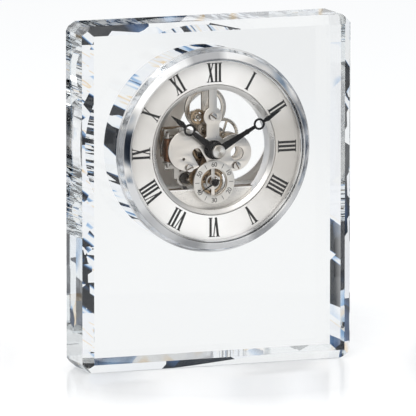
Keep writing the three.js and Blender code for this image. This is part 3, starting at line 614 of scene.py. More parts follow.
numerals = ("I", "II", "III", "IIII", "V", "VI", "VII", "VIII", "IX", "X", "XI", "XII")
numeral_foot = 29.7
numeral_head = 38.2
thick_stroke = 1.06
thin_stroke = 0.46
letter_width = {"I": thick_stroke, "V": 2.75, "X": 2.75}
letter_gap = 0.7
serif = 0.34
overhang = 0.4


def numeral_shapes(text):
    """The strokes of a condensed Roman numeral, centred, with its foot at its own zero."""
    height = numeral_head - numeral_foot
    half = thick_stroke / 2
    fine = thin_stroke / 2
    total = sum(letter_width[letter] for letter in text) + letter_gap * (len(text) - 1)
    left = -total / 2
    shapes = []
    for letter in text:
        right = left + letter_width[letter]
        middle = left + 0.56 * letter_width["V"]
        stands = {"I": (left + half,), "V": (middle, middle), "X": (right - half, left + fine)}[letter]
        shapes.append(stroke(stands[0], 0, left + half, height, thick_stroke))
        heads = [(left + half, half)]
        if letter != "I":
            shapes.append(stroke(stands[1], 0, right - fine, height, thin_stroke))
            heads.append((right - fine, fine))
        feet = [] if letter == "V" else zip(stands, (half, fine))
        for x, reach in feet:
            shapes.append(oblong(x - reach - overhang, x + reach + overhang, 0, serif))
        for x, reach in heads:
            shapes.append(oblong(x - reach - overhang, x + reach + overhang, height - serif, height))
        left = right + letter_gap
    return shapes


satin = satin_dial()
ink = print_black("dial_ink")
ring_profile = [(dial_outer, dial_face), (dial_outer, -1.2), (dial_inner, -1.2), (dial_inner, dial_face)]
shown(ring_mesh(softened(ring_profile, 0.12), 256), "chapter_ring", "insert", "dial", satin, "dial_ring")
for hour, text in enumerate(numerals, 1):
    strokes = []
    for shape in numeral_shapes(text):
        lifted = [(x, z + numeral_foot) for x, z in shape]
        strokes.append(turned_by(lifted, hour * 30))
    printed = plate_mesh(loops_of(strokes), dial_face - 0.05, 0.05)
    shown(printed, f"numeral_{hour}", "insert", "dial", ink)


# Dial lip
# A drawn trim ring, polished inside and out, that slopes down from the dial into a short tube.
# Its tube is open where the plate's long arm and the battery tray pass through.
lip_metal = chrome_finish("lip_metal", (0.84, 0.825, 0.805), 0.3)


def lip_mesh():
    profile = [
        (28.5, -1.9), (28.5, -1.5), (26.8, -0.4), (26.8, 6.0), (26.4, 6.0), (26.4, -0.8), (28.1, -1.9),
    ]
    mesh = ring_mesh(softened(profile, 0.12), 192)
    top = reach_of("battery_box")[1].z
    arm = box_mesh((-2.15, -0.8, 0), (2.15, 7, 30))
    return cut_by(mesh, arm, box_mesh((-30, 2.7, -30), (30, 7, top + 0.3)))


shown(lip_mesh(), "trim_lip", "insert", "chrome", lip_metal, "dial_lip")


# Lens and its spacer
# A domed pane of clear mineral glass, held in the bezel by a thin bright ring that keeps it off the dial.
spacer_profile = [(40.0, -4.9), (40.0, -2.3), (39.4, -2.3), (39.4, -4.9)]
shown(ring_mesh(softened(spacer_profile, 0.1), 192), "bright_spacer", "insert", "chrome", polished,
      "lens_spacer")


def dome_mesh():
    radius, rise, rim, thick = 40.0, 4.8, -5.2, 1.2
    sphere = (radius ** 2 + rise ** 2) / (2 * rise)
    inside = []
    for i in range(25):
        r = radius * i / 24
        inside.append((r, rim - (math.sqrt(sphere ** 2 - r ** 2) - sphere + rise)))
    outside = [(r, y - thick) for r, y in reversed(inside)]
    return ring_mesh(inside + outside, 128, closed=False)


coated = pane_finish("coated_lens", (0.995, 0.995, 0.993), 0.12)
shown(dome_mesh(), "domed_lens", "insert", "lens", coated, "lens", smooth=60.0)


# Plates of the movement
# Two stamped plates of nickel-plated brass with open lobes, lapped bright and kept apart by pillars.
# The front plate has one long arm up to the can's web and an open bearing for the seconds arbor.
front_face = -0.5
plate_thick = 1.0
back_face = 8.6
arm_half = 1.85
lobes = {
    "top": (0, 14.4, 4.3),
    "left": (-11.75, 0.15, 9.0),
    "right": (9.8, -1.9, 8.1),
    "middle": (0, 0, 6.5),
    "under": (0, -8.6, 7.6),
}
pillar_spots = {"top": (0, 14.4), "left": (-11, -7.6), "right": (11, -7.6)}
right_hole = (11.2, -2.2, 3.0)
screw_clearance = 1.0
pivot_clearance = 0.65
seconds_opening = 5.85


def spot_of(body):
    """Where a wheel's axis stands, across and up from the centre arbor, in mm."""
    offset = axis_of[body] - clock_origin
    return offset.x, offset.z


def nickel(name, colour, rough):
    """Nickel plate over fine straight grain, a little warmer where it is thin."""
    finish = Finish(name)
    grain = finish.grain(900.0, 4.0, (1.0, 1.0, 0.06))
    cloud = finish.grain(110.0, 3.0)
    warm = tuple(part * share for part, share in zip(colour, (0.9, 0.86, 0.81)))
    return finish.surface(finish.blend(cloud, warm, colour), rough + (grain - 0.5) * 0.14, 1.0, grain, 8e-6)


def front_outline():
    seconds = spot_of("seconds_arbor")
    adds = [circle(*lobes[name], 72) for name in ("top", "left", "right", "middle")]
    adds.append(circle(*seconds, 9.1, 96))
    adds.append(oblong(-arm_half, arm_half, 0, arm_screw_z + 2.2))
    adds.append(oblong(-3, 3, 0, 14.4))
    slot = []
    for i in range(32):
        angle = 2 * math.pi * (i + 0.5) / 32
        lift = 2.4 if math.sin(angle) > 0 else -2.4
        slot.append((2.1 * math.cos(angle), lift + 2.1 * math.sin(angle)))
    cuts = [turned_by(slot, -30, -6.3, -3.2)]
    cuts += [circle(*hole) for hole in ((0, 0, 2.0), right_hole, (-13.6, -3.6, 0.6))]
    cuts.append(circle(*spot_of("intermediate"), pivot_clearance, 16))
    cuts += [circle(x, z, screw_clearance, 20) for x, z in [(0, arm_screw_z), *pillar_spots.values()]]
    cuts.append(circle(*seconds, seconds_opening, 96))
    return loops_of(adds, cuts)


def bearing_outlines():
    """The hoop round the seconds arbor and the bridge that carries its bearing."""
    x, z = spot_of("seconds_arbor")
    hoop = loops_of([circle(x, z, 3.2, 64)], [circle(x, z, 2.5, 64)])
    reach = seconds_opening + 0.5
    bridge = oblong(-0.8, 0.8, z - reach, z + reach)
    return hoop, loops_of([bridge, circle(x, z, 1.3, 24)], [circle(x, z, 0.8, 20)])


def back_outline():
    adds = [circle(*lobes[name], 72) for name in ("left", "right", "middle", "under")]
    rotor = spot_of("rotor")
    adds.append(circle(*rotor, 3, 40))
    adds.append(oblong(rotor[0] - 2, rotor[0] + 2, rotor[1], lobes["left"][1]))
    adds.append(oblong(-arm_half, arm_half, 0, 24.9))
    small = {"upper_wheel": 2.6, "top_pinion": 2.0, "top_wheel": 2.0}
    adds += [circle(*spot_of(body), radius, 40) for body, radius in small.items()]
    for start in (0, math.pi):
        turns = [start + math.pi * i / 48 for i in range(49)]
        outside = [(9.6 * math.cos(turn), 17 + 9.6 * math.sin(turn)) for turn in turns]
        inside = [(7.4 * math.cos(turn), 17 + 7.4 * math.sin(turn)) for turn in turns[::-1]]
        adds.append(outside + inside)
    pivots = ("third_arbor", "seconds_arbor", "intermediate", "rotor")
    cuts = [circle(0, 0, 1.1, 20), circle(*right_hole)]
    cuts += [circle(*spot_of(body), pivot_clearance, 16) for body in pivots]
    cuts += [circle(x, z, screw_clearance, 20) for x, z in pillar_spots.values()]
    return loops_of(adds, cuts)


def pin_mesh(radius, front, back, x, z, sides=24):
    """A plain turned pin with its ends broken."""
    profile = [(0, front), (radius, front), (radius, back), (0, back)]
    return ring_mesh(softened(profile, 0.12), sides, at(x, z), closed=False)


def dark_edged(item, least=0.55):
    """Paints the side walls of a flat piece dark brown: painted shade along its edges."""
    item.data.materials.append(edge_shade_paint)
    for face in item.data.polygons:
        if abs(face.normal.y) < least:
            face.material_index = 1
    return item


def fixed_steel(mesh, name, metal, node):
    """A bright steel piece that stays with the clock insert."""
    return shown(mesh, name, "insert", "plate_steel", metal, node)


# Dark brown for the side walls of plates and wheels and for screw slots: painted shade.
edge_shade_paint = steel_finish("edge_shade_paint", (0.22, 0.18, 0.145), 0.3, 0.14)
plate_metal = nickel("plate_metal", (0.93, 0.91, 0.885), 0.3)
# The back plate, its pillars, studs and posts take a darker, warmer copy of the front plate's nickel:
# painted shade, as they lie behind it.
back_metal = nickel("back_plate_metal", (0.8, 0.765, 0.72), 0.26)
hoop, bridge = bearing_outlines()
for name, loops, front, thick, edge in (
    ("front_plate_sheet", front_outline(), front_face, plate_thick, 0.14),
    ("seconds_hoop", hoop, front_face, plate_thick, 0.1),
    ("seconds_bridge", bridge, front_face + 0.02, plate_thick - 0.04, 0.1),
):
    dark_edged(fixed_steel(plate_mesh(loops, front, thick, edge), name, plate_metal, "front_plate"))
fixed_steel(pin_mesh(0.5, 0.0, 3.1, *spot_of("minute_wheel")), "minute_post", plate_metal, "front_plate")
back_sheet = plate_mesh(back_outline(), back_face, plate_thick, 0.14)
dark_edged(fixed_steel(back_sheet, "back_plate_sheet", back_metal, "back_plate"))
for body in ("upper_wheel", "top_pinion", "top_wheel"):
    fixed_steel(pin_mesh(0.5, 2.9, 9.1, *spot_of(body)), f"{body}_stud", back_metal, "back_plate")
for end, z in (("top", 3.2), ("foot", -4.8)):
    fixed_steel(pin_mesh(0.8, 6.6, 9.1, -14.6, z), f"stator_post_{end}", back_metal, "back_plate")


# Pillars and screws
# Turned steel pillars with a waist, and bright cheese-head screws, slotted and turned home by hand.
# Each plate is held by three screws, and one more fixes the long arm to the can's web.
screw_metal = chrome_finish("screw_metal", (0.74, 0.72, 0.7), 0.2)


def dark_slot(item, top, way):
    """Paints a screw dark in its slot and on its side, below the head's own face: painted shade."""
    item.data.materials.append(edge_shade_paint)
    for face in item.data.polygons:
        depth = (face.center.y / MM - clock_origin.y - top) * way
        if depth > 0.06:
            face.material_index = 1


def pillar_mesh(x, z):
    profile = [
        (1.3, 0.8), (1.3, 1.9), (0.98, 2.3), (0.98, 6.8), (1.3, 7.2), (1.3, 8.3), (1.0, 8.3), (1.0, 0.8),
    ]
    return ring_mesh(softened(profile, 0.12), 32, at(x, z))


def screw_mesh(x, z, face, way, length, slot_angle):
    """A screw whose head stands on the face and whose shank runs the given way, with a sawn slot."""
    foot = face - way * head_lift
    top = foot - way * head_thick
    end = foot + way * length
    profile = [(0, top), (1.7, top), (1.7, foot), (0.7, foot), (0.7, end), (0, end)]
    body = ring_mesh(softened(profile, 0.16, 3), 40, at(x, z), closed=False)
    low, high = sorted((top - way * 0.6, top + way * 0.35))
    cut = box_mesh((-3, low, -0.27), (3, high, 0.27))
    cut.transform(Matrix.Translation(-clock_origin * MM))
    cut.transform(Matrix.Translation(at(x, z) * MM) @ Matrix.Rotation(math.radians(slot_angle), 4, "Y"))
    return cut_by(body, cut)


def fitted_screw(name, x, z, face, way, length, slot_angle, node):
    mesh = screw_mesh(x, z, face, way, length, slot_angle)
    screw = shown(mesh, name, "insert", "chrome", screw_metal, node)
    dark_slot(screw, face - way * (head_lift + head_thick), way)


head_lift = 0.3
head_thick = 0.7
slot_turns = {"top": 38, "left": -24, "right": 61}
for side, (x, z) in pillar_spots.items():
    turn = slot_turns[side]
    fixed_steel(pillar_mesh(x, z), f"pillar_{side}", back_metal, f"plate_pillar_{side}")
    fitted_screw(f"screw_front_{side}", x, z, front_face, 1, 3.8, turn, f"front_screw_{side}")
    back = back_face + plate_thick
    fitted_screw(f"screw_back_{side}", x, z, back, -1, 3.8, 90 - turn, f"back_screw_{side}")
fitted_screw("screw_arm", 0, arm_screw_z, 1.8, -1, 2.3, 15, "arm_screw")


# Wheels of the train and the motion work
# Brass wheels cut by a hob and crossed out with spokes, each driven on a steel pinion and arbor.
# Every wheel starts at the same angle as its solid, so that teeth and gaps meet on the line of centres.
module_of = {"centre": 0.22, "third": 0.2, "fourth": 0.215, "motion": 0.25, "show": 0.243}


def meshed(other, other_teeth, other_phase, own, own_teeth):
    """The angle at which a wheel's gap meets the tooth of the wheel that drives it."""
    (ox, oz), (x, z) = spot_of(other), spot_of(own)
    line = math.atan2(z - oz, x - ox)
    return line + math.pi - (other_teeth / own_teeth) * (other_phase - line) + math.pi / own_teeth


def toothed(teeth, module, phase, x, z):
    """The outline of a wheel: flat tips, slanting flanks and short root arcs."""
    pitch = teeth * module / 2
    root, tip = pitch - 1.1 * module, pitch + 0.8 * module
    step = 2 * math.pi / teeth
    rise = [(-0.5, root), (-0.32, root), (-0.21, pitch), (-0.09, tip)]
    flank = rise + [(-share, radius) for share, radius in rise[:0:-1]]
    points = []
    for i in range(teeth):
        for share, radius in flank:
            angle = phase + (i + share) * step
            points.append((x + radius * math.cos(angle), z + radius * math.sin(angle)))
    return points


def crossed(radius, spokes, x, z, half=0.45, rim=1.1, hub=1.6):
    """The windows between a wheel's spokes."""
    inner = radius - rim
    step = 2 * math.pi / spokes
    cuts = []
    for i in range(spokes):
        near, far = math.asin(half / hub), math.asin(half / inner)
        points = []
        for k in range(9):
            angle = i * step + near + (step - 2 * near) * k / 8
            points.append((x + hub * math.cos(angle), z + hub * math.sin(angle)))
        for k in range(13):
            angle = (i + 1) * step - far - (step - 2 * far) * k / 12
            points.append((x + inner * math.cos(angle), z + inner * math.sin(angle)))
        cuts.append(points[::-1])
    return cuts


def wheel_mesh(body, teeth, module, phase, front, thick, spokes=0, hole=0.3):
    x, z = spot_of(body)
    cuts = crossed(teeth * module / 2 - module, spokes, x, z) if spokes else []
    if hole:
        cuts.append(circle(x, z, hole, 20))
    return plate_mesh(loops_of([toothed(teeth, module, phase, x, z)], cuts), front, thick, 0.05, rounds=1)


def wheel_metal(name, colour, rough):
    """Brass or steel, turned and lapped, with fine marks and a soft cloud of darker metal."""
    finish = Finish(name)
    fine = finish.grain(1500.0, 4.0)
    cloud = finish.grain(160.0, 3.0)
    deep = tuple(part * share for part, share in zip(colour, (0.7, 0.62, 0.52)))
    return finish.surface(finish.blend(cloud, deep, colour), rough + (fine - 0.5) * 0.2, 1.0, fine, 6e-6)


brass_metal = wheel_metal("wheel_brass", (0.5, 0.4, 0.29), 0.22)
pale_brass = wheel_metal("plated_brass", (0.76, 0.72, 0.66), 0.22)
pinion_steel = wheel_metal("pinion_steel", (0.4, 0.37, 0.34), 0.2)
third_phase = meshed("centre_arbor", 64, 0, "third_arbor", 8)
fourth_phase = meshed("third_arbor", 60, 0, "seconds_arbor", 8)
middle_phase = meshed("seconds_arbor", 50, 0, "intermediate", 10)
rotor_phase = meshed("intermediate", 36, 0, "rotor", 6)
minute_phase = meshed("centre_arbor", 10, 0, "minute_wheel", 30)
hour_phase = meshed("minute_wheel", 8, 0, "hour_pipe", 32)
upper_phase = meshed("centre_arbor", 8, 0, "upper_wheel", 60)
top_pinion_phase = meshed("upper_wheel", 60, upper_phase, "top_pinion", 20)
top_wheel_phase = meshed("top_pinion", 20, top_pinion_phase, "top_wheel", 28)
# Each row is a piece's name, its body, its teeth, the pair it runs in, the angle of its first tooth, its
# front face and thickness in mm, its spokes, its metal, and the solid that it stands for.
wheels = (
    ("great_wheel", "centre_arbor", 64, "centre", 0, 6.1, 0.6, 4, brass_metal, "centre_wheel"),
    ("cannon_pinion", "centre_arbor", 10, "motion", 0, 1.9, 1.0, 0, pinion_steel, "centre_wheel"),
    ("display_drive", "centre_arbor", 8, "show", 0, 3.1, 1.0, 0, pinion_steel, "centre_wheel"),
    ("third_disc", "third_arbor", 60, "third", 0, 4.5, 0.6, 0, brass_metal, "third_wheel"),
    ("third_pinion", "third_arbor", 8, "centre", third_phase, 5.8, 1.2, 0, pinion_steel, "third_wheel"),
    ("seconds_wheel", "seconds_arbor", 50, "fourth", 0, 1.1, 0.6, 4, brass_metal, "fourth_wheel"),
    ("seconds_pinion", "seconds_arbor", 8, "third", fourth_phase, 4.2, 1.2, 0, pinion_steel, "fourth_wheel"),
    ("middle_disc", "intermediate", 36, "fourth", 0, 2.2, 0.6, 0, brass_metal, "intermediate_wheel"),
    ("middle_pinion", "intermediate", 10, "fourth", middle_phase, 0.9, 1.0, 0, pinion_steel,
     "intermediate_wheel"),
    ("rotor_pinion", "rotor", 6, "fourth", rotor_phase, 1.9, 1.2, 0, pinion_steel, "rotor"),
    ("minute_disc", "minute_wheel", 30, "motion", minute_phase, 2.1, 0.6, 0, pale_brass, "minute_wheel"),
    ("minute_leaf", "minute_wheel", 8, "motion", 0, 0.9, 1.18, 0, pinion_steel, "minute_wheel"),
    ("hour_disc", "hour_pipe", 32, "motion", hour_phase, 1.0, 0.6, 0, pale_brass, "hour_wheel"),
    ("upper_disc", "upper_wheel", 60, "show", upper_phase, 3.3, 0.6, 5, pale_brass, "upper_wheel"),
    ("top_pinion_disc", "top_pinion", 20, "show", top_pinion_phase, 3.2, 0.8, 0, pinion_steel, "top_pinion"),
    ("top_disc", "top_wheel", 28, "show", top_wheel_phase, 3.3, 0.6, 4, brass_metal, "top_wheel"),
)
studded = ("minute_wheel", "upper_wheel", "top_pinion", "top_wheel")
bores = {"hour_pipe": 1.2, **{body: 0.8 for body in studded}}
slots = {brass_metal: "brass", pale_brass: "brass", pinion_steel: "plate_steel"}
for name, body, teeth, pair, phase, front, thick, spokes, metal, node in wheels:
    mesh = wheel_mesh(body, teeth, module_of[pair], phase, front, thick, spokes, bores.get(body, 0.3))
    dark_edged(shown(mesh, name, body, slots[metal], metal, node))


# Arbors and hubs
# Turned steel arbors with a shoulder and a fine pivot at each end, and turned hubs on the display wheels.
# The centre arbor runs from the hands to the knob, inside the brass pipe that carries the hour hand.
def arbor_mesh(body, front, back):
    front_end = [(0, front), (0.35, front), (0.35, 0.8), (0.5, 0.8)]
    profile = front_end + [(0.5, 8.3), (0.35, 8.3), (0.35, back), (0, back)]
    return ring_mesh(softened(profile, 0.06, 2), 24, axis_of[body], closed=False)


def sleeve_mesh(inner, outer, front, back, edge, sides, body):
    """A plain tube on a body's axis."""
    profile = [(inner, front), (outer, front), (outer, back), (inner, back)]
    return ring_mesh(softened(profile, edge), sides, axis_of[body])


pivot_end = 9.6
arbors = {
    "third_arbor": ("third_wheel", 0.8),
    "intermediate": ("intermediate_wheel", -0.5),
    "rotor": ("rotor", 0.8),
}
for body, (node, front) in arbors.items():
    shown(arbor_mesh(body, front, pivot_end), f"{node}_arbor", body, "plate_steel", pinion_steel, node)
seconds_stem = [(0, -2.85), (0.5, -2.85), (0.5, 8.3), (0.35, 8.3), (0.35, pivot_end), (0, pivot_end)]
shown(ring_mesh(softened(seconds_stem, 0.08, 2), 24, axis_of["seconds_arbor"], closed=False),
      "seconds_stem", "seconds_arbor", "plate_steel", pinion_steel, "fourth_wheel")
for body, front, back in (("upper_wheel", 3.1, 5.8), ("top_pinion", 3.0, 8.3), ("top_wheel", 3.1, 8.3)):
    hub = sleeve_mesh(0.8, 1.3, front, back, 0.12, 32, body)
    shown(hub, f"{body}_hub", body, "brass", pale_brass, body)
shown(sleeve_mesh(0.45, 1.5, 5.5, 6.9, 0.15, 40, "centre_arbor"), "great_wheel_collet", "centre_arbor",
      "brass", pale_brass, "centre_wheel")
stem_profile = [
    (0, -5.7), (0.8, -5.7), (0.8, -5.05), (0.9, -5.05), (0.9, 2.4), (0.8, 2.4), (0.8, 22.6), (0, 22.6),
]
shown(ring_mesh(softened(stem_profile, 0.06, 2), 32, closed=False), "centre_stem", "centre_arbor",
      "plate_steel", pinion_steel, "centre_wheel")
shown(sleeve_mesh(1.2, 1.7, -3.75, 1.6, 0.12, 40, "hour_pipe"), "hour_tube", "hour_pipe",
      "brass", pale_brass, "hour_wheel")
magnet = steel_finish("magnet", (0.1, 0.095, 0.09), 0.4, 0.12)
shown(sleeve_mesh(0.4, 2.2, 5.1, 6.7, 0.18, 48, "rotor"), "rotor_magnet", "rotor", "black", magnet, "rotor")


# Seconds dial
# A small turned ring with a lapped face, snapped on the front plate, printed with figures and strokes.
# The figures stand with their feet to the centre, except the lowest three, which are turned to read upright.
seconds_at = spot_of("seconds_arbor")
seconds_face = -2.0
seconds_profile = [(9.5, seconds_face), (9.5, -0.8), (6.1, -0.8), (6.1, seconds_face)]
pale_satin = nickel("seconds_face", (0.88, 0.875, 0.86), 0.34)
shown(ring_mesh(softened(seconds_profile, 0.14), 160, axis_of["seconds_arbor"]), "seconds_ring", "insert",
      "dial", pale_satin, "seconds_dial")


def figure_mesh(text, height, degrees, x, z, front):
    """Printed figures, centred on a point of the clock's face and turned clockwise."""
    words = bpy.data.curves.new("words", "FONT")
    words.body = text
    words.size = height * MM / 0.7
    words.align_x = "CENTER"
    words.align_y = "CENTER"
    words.space_character = 0.92
    words.offset = 0.012 * MM
    words.extrude = 0.02 * MM
    mesh = taken_mesh(added(bpy.data.objects.new("work", words)))
    corners = [Vector(vert.co) for vert in mesh.vertices]
    middle = (Vector(map(min, zip(*corners))) + Vector(map(max, zip(*corners)))) / 2
    mesh.transform(Matrix.Translation(-middle))
    mesh.transform(Matrix.Rotation(math.radians(-degrees), 4, "Z"))
    mesh.transform(Matrix.Rotation(math.radians(90), 4, "X"))
    mesh.transform(Matrix.Translation((clock_origin + Vector((x, front, z))) * MM))
    return welded(mesh, 1e-8)


figure_radius = 7.85
figure_height = 2.0
dashes = []
for step, text in enumerate(("60", "10", "20", "30", "40", "50")):
    degrees = 60 * step
    x, z = turned_by([(0, figure_radius)], degrees, *seconds_at)[0]
    lean = {120: -60, 180: 0, 240: 60}.get(degrees, degrees)
    figures = figure_mesh(text, figure_height, lean, x, z, seconds_face - 0.02)
    shown(figures, f"figure_{text}", "insert", "dial", ink)
    dashes.append(turned_by(oblong(-0.11, 0.11, 6.9, 8.9), 30 + degrees, *seconds_at))
shown(plate_mesh(loops_of(dashes), seconds_face - 0.04, 0.04), "seconds_strokes", "insert", "dial", ink)


# Centre bush
# A threaded brass bush, blacked, that holds the front of the movement and steadies the hour pipe.
def blacked(name, rough):
    finish = Finish(name)
    speck = finish.grain(1800.0, 3.0)
    tone = finish.blend(speck, (0.004, 0.004, 0.0045), (0.011, 0.01, 0.01))
    return finish.surface(tone, rough + speck * 0.14, 0.0, speck, 5e-6, gloss=0.25)


hand_black = blacked("hand_black", 0.34)
bush_black = blacked("bush_black", 0.3)
bush_profile = [
    (2.1, -0.8), (2.1, -3.2), (2.7, -3.2), (2.7, -3.0), (3.3, -3.0), (3.3, -1.9), (4.2, -1.9), (4.2, -0.8),
]
shown(ring_mesh(softened(bush_profile, 0.1, 2), 64), "bush", "insert", "black", bush_black, "centre_bush")


# Hands
# Pierced hands stamped from thin steel, blacked and lightly polished, each pressed on its pipe or arbor.
# Hour and minute hands carry an open ring, and the minute hand a small solid bead closer in.
hand_thick = 0.35


def hand_side(points):
    """A blade that is the same on both sides of its length."""
    return points + [(-x, z) for x, z in reversed(points)]


def ringed_hand(foot, neck, ring_at, ring_radius, tip, beyond, hub):
    """A hub, a tapered blade, an open ring and a leaf-shaped point beyond it."""
    lap = 0.3
    start = ring_at + ring_radius - lap
    return [
        circle(0, 0, hub, 72),
        hand_side([(foot, 0), (foot * 0.9, 4.5), (neck, ring_at - ring_radius + lap)]),
        circle(0, ring_at, ring_radius, 64),
        hand_side([(beyond / 2, start), (beyond, start + 2.2), (beyond * 0.72, start + 4.2), (0.12, tip)]),
    ]


def hand_mesh(adds, cuts, degrees, body, front):
    """A hand cut from sheet, turned clockwise from twelve on the axis of its body."""
    placed = [[turned_by(shape, degrees, *spot_of(body)) for shape in shapes] for shapes in (adds, cuts)]
    return plate_mesh(loops_of(*placed), front, hand_thick, 0.09, rounds=2)


hour_ring, minute_ring = 15.6, 22.4
hour_shapes = ringed_hand(1.75, 0.85, hour_ring, 2.7, 26.5, 1.3, 3.6)
hour_holes = [circle(0, hour_ring, 1.75), circle(0, 0, 1.2, 32)]
minute_shapes = ringed_hand(1.75, 0.75, minute_ring, 2.6, 34.0, 1.1, 3.7) + [circle(0, 16, 1.2, 32)]
minute_holes = [circle(0, minute_ring, 1.65), circle(0, 0, 1.1, 32)]
seconds_shapes = [circle(0, 0, 1.7, 40), hand_side([(0.45, -2.2), (0.45, 0), (0.12, 8.2)])]
for name, body, shapes, holes, degrees, front in (
    ("hour", "hour_pipe", hour_shapes, hour_holes, 308, -4.4),
    ("minute", "centre_arbor", minute_shapes, minute_holes, 61, -5.7),
    ("seconds", "seconds_arbor", seconds_shapes, [circle(0, 0, 0.3, 16)], 240, -3.5),
):
    mesh = hand_mesh(shapes, holes, degrees, body, front)
    shown(mesh, f"{name}_pointer", body, "black", hand_black, f"{name}_hand")
for name, body, inner, radius, front, back in (
    ("hour_boss", "hour_pipe", 1.75, 3.8, -4.75, -4.0),
    ("minute_boss", "centre_arbor", 0.85, 3.6, -5.98, -5.3),
    ("seconds_boss", "seconds_arbor", 0.3, 1.05, -3.75, -3.15),
):
    profile = [(inner, front), (radius - 0.2, front), (radius, front + 0.2), (radius, back), (inner, back)]
    shown(ring_mesh(softened(profile, 0.08, 2), 56, axis_of[body]), name, body, "black", hand_black)


# Hand nut
# A turned nut, nickel-plated and faced off finely, with two light and two dark sectors painted on it as
# sheen.
def faced_metal():
    finish = Finish("faced_nut")
    far, turn = finish.round_axis(clock_origin)
    # Painted sheen: light and dark sectors round the centre.
    sheen_sectors = (turn * 4 * math.pi + 0.9).sine() * 0.5 + 0.5
    rings = finish.rings(far, 22.0, 2.0)
    tone = finish.blend(sheen_sectors, (0.42, 0.39, 0.35), (0.93, 0.92, 0.9))
    return finish.surface(tone, rings * 0.16 + 0.22, 1.0, rings, 1.2e-5)


nut_profile = [
    (0, -8.35), (0.5, -8.35), (0.5, -8.4), (2.55, -8.4), (2.9, -8.05), (2.9, -6.5), (2.75, -6.4),
    (2.75, -6.0), (0, -6.0),
]
shown(ring_mesh(softened(nut_profile, 0.1, 3), 96, closed=False), "faced_nut", "centre_arbor", "chrome",
      faced_metal(), "hand_nut")


# Setting knob
# A moulded black knob pressed on the back end of the centre arbor, with flutes for finger and thumb.
def knob_outline(radius=4.5, flutes=12, flute_deep=0.4, sides=192):
    points = []
    for x, z in circle(0, 0, 1.0, sides):
        wave = 0.5 + 0.5 * math.cos(flutes * math.atan2(z, x))
        reach = radius - flute_deep * (1 - wave) ** 1.5
        points.append((reach * x, reach * z))
    return points


knob_black = steel_finish("knob_black", (0.022, 0.022, 0.024), 0.42, 0.12, relief=1.4e-5, shine=0.0)
shown(plate_mesh([knob_outline()], 22.9, 4.2, 0.45, rounds=4), "fluted_knob", "centre_arbor", "knob",
      knob_black, "setting_knob")


# Coil
# Fine enamelled copper wire wound on a bobbin with two cheeks, round the soft-iron core.
# The core's ends stick out past both cheeks, where the stator is riveted on.
coil_at = (-19.0, 4.4, 0.2)
coil_x, coil_y, coil_z = coil_at
coil_half = 5.3
cheek = 0.5
core_end = 1.4


def stood_up(mesh, x, y, z, way="Z"):
    """Turns a piece that was made along the clock's depth so that it stands up, or lies across."""
    degrees, axis = (90, "X") if way == "Z" else (-90, "Z")
    turn = Matrix.Rotation(math.radians(degrees), 4, axis)
    mesh.transform(Matrix.Translation(-clock_origin * MM))
    mesh.transform(Matrix.Translation((clock_origin + Vector((x, y, z))) * MM) @ turn)
    return mesh


def tube_mesh(points, radius, sides=8):
    """Round wire along a row of points in mm, with its two ends closed."""
    path = bpy.data.curves.new("wire", "CURVE")
    path.dimensions = "3D"
    path.bevel_depth = radius * MM
    path.bevel_resolution = max(1, sides // 4)
    path.use_fill_caps = True
    line = path.splines.new("POLY")
    line.points.add(len(points) - 1)
    for point, spot in zip(line.points, points):
        point.co = (*((clock_origin + Vector(spot)) * MM), 1)
    return welded(taken_mesh(added(bpy.data.objects.new("work", path))))


def bobbin_mesh():
    outside = coil_half + cheek
    reach = outside + core_end
    half = [(0.8, coil_half), (2.3, coil_half), (2.3, outside), (0.8, outside), (0.8, reach), (0, reach)]
    profile = [(radius, -height) for radius, height in half[::-1]] + half
    return stood_up(ring_mesh(softened(profile, 0.12, 2), 40, closed=False), *coil_at)


def wound_wire(turns=42, radius=1.82, wire=0.105, around=20):
    """One layer of wire, wound from the lower cheek to the upper."""
    rise = 2 * coil_half - 0.7
    steps = turns * around
    points = []
    for i in range(steps + 1):
        angle = 2 * math.pi * i / around
        height = coil_z - rise / 2 + rise * i / steps
        points.append((coil_x + radius * math.cos(angle), coil_y + radius * math.sin(angle), height))
    return tube_mesh(points, wire, 4)


def enamel_copper():
    finish = Finish("enamelled_wire")
    cloud = finish.grain(500.0, 3.0)
    copper = finish.blend(cloud, (0.15, 0.075, 0.04), (0.3, 0.165, 0.1))
    return finish.surface(copper, cloud * 0.2 + 0.2, 0.85)


copper_wire = enamel_copper()
core_metal = steel_finish("core_metal", (0.62, 0.6, 0.57), 0.3, 0.12)
fixed_steel(bobbin_mesh(), "bobbin", core_metal, "coil_bobbin")
shown(wound_wire(), "wound_wire", "insert", "copper", copper_wire, "coil_winding", smooth=80)
layer = [(0.85, -4.95), (1.76, -4.95), (1.76, 4.95), (0.85, 4.95)]
shown(stood_up(ring_mesh(layer, 40), *coil_at), "under_layers", "insert", "copper", copper_wire,
      "coil_winding")


# Stator
# A stamped plate of soft iron that joins the two ends of the core round the rotor's magnet.
# It is riveted to the core's ends and stands on two posts of the back plate.
def stator_outline():
    rotor = spot_of("rotor")
    top = coil_z + coil_half + 0.8
    bottom = coil_z - coil_half - 0.8
    half = 1.3
    left = coil_x - half
    leg = -14.6
    adds = [
        oblong(left, leg + half, top, top + 2 * half),
        oblong(leg - half, leg + half, rotor[1], top + half),
        oblong(left, leg, bottom - 2 * half, bottom),
        circle(*rotor, 3.7, 64),
    ]
    rivets = [circle(coil_x, z, 0.5, 20) for z in (top + half, bottom - half)]
    return loops_of(adds, [circle(*rotor, 2.6, 64)] + rivets)


fixed_steel(plate_mesh(stator_outline(), 5.5, 0.8, 0.1), "stator_sheet", core_metal, "stator_plate")


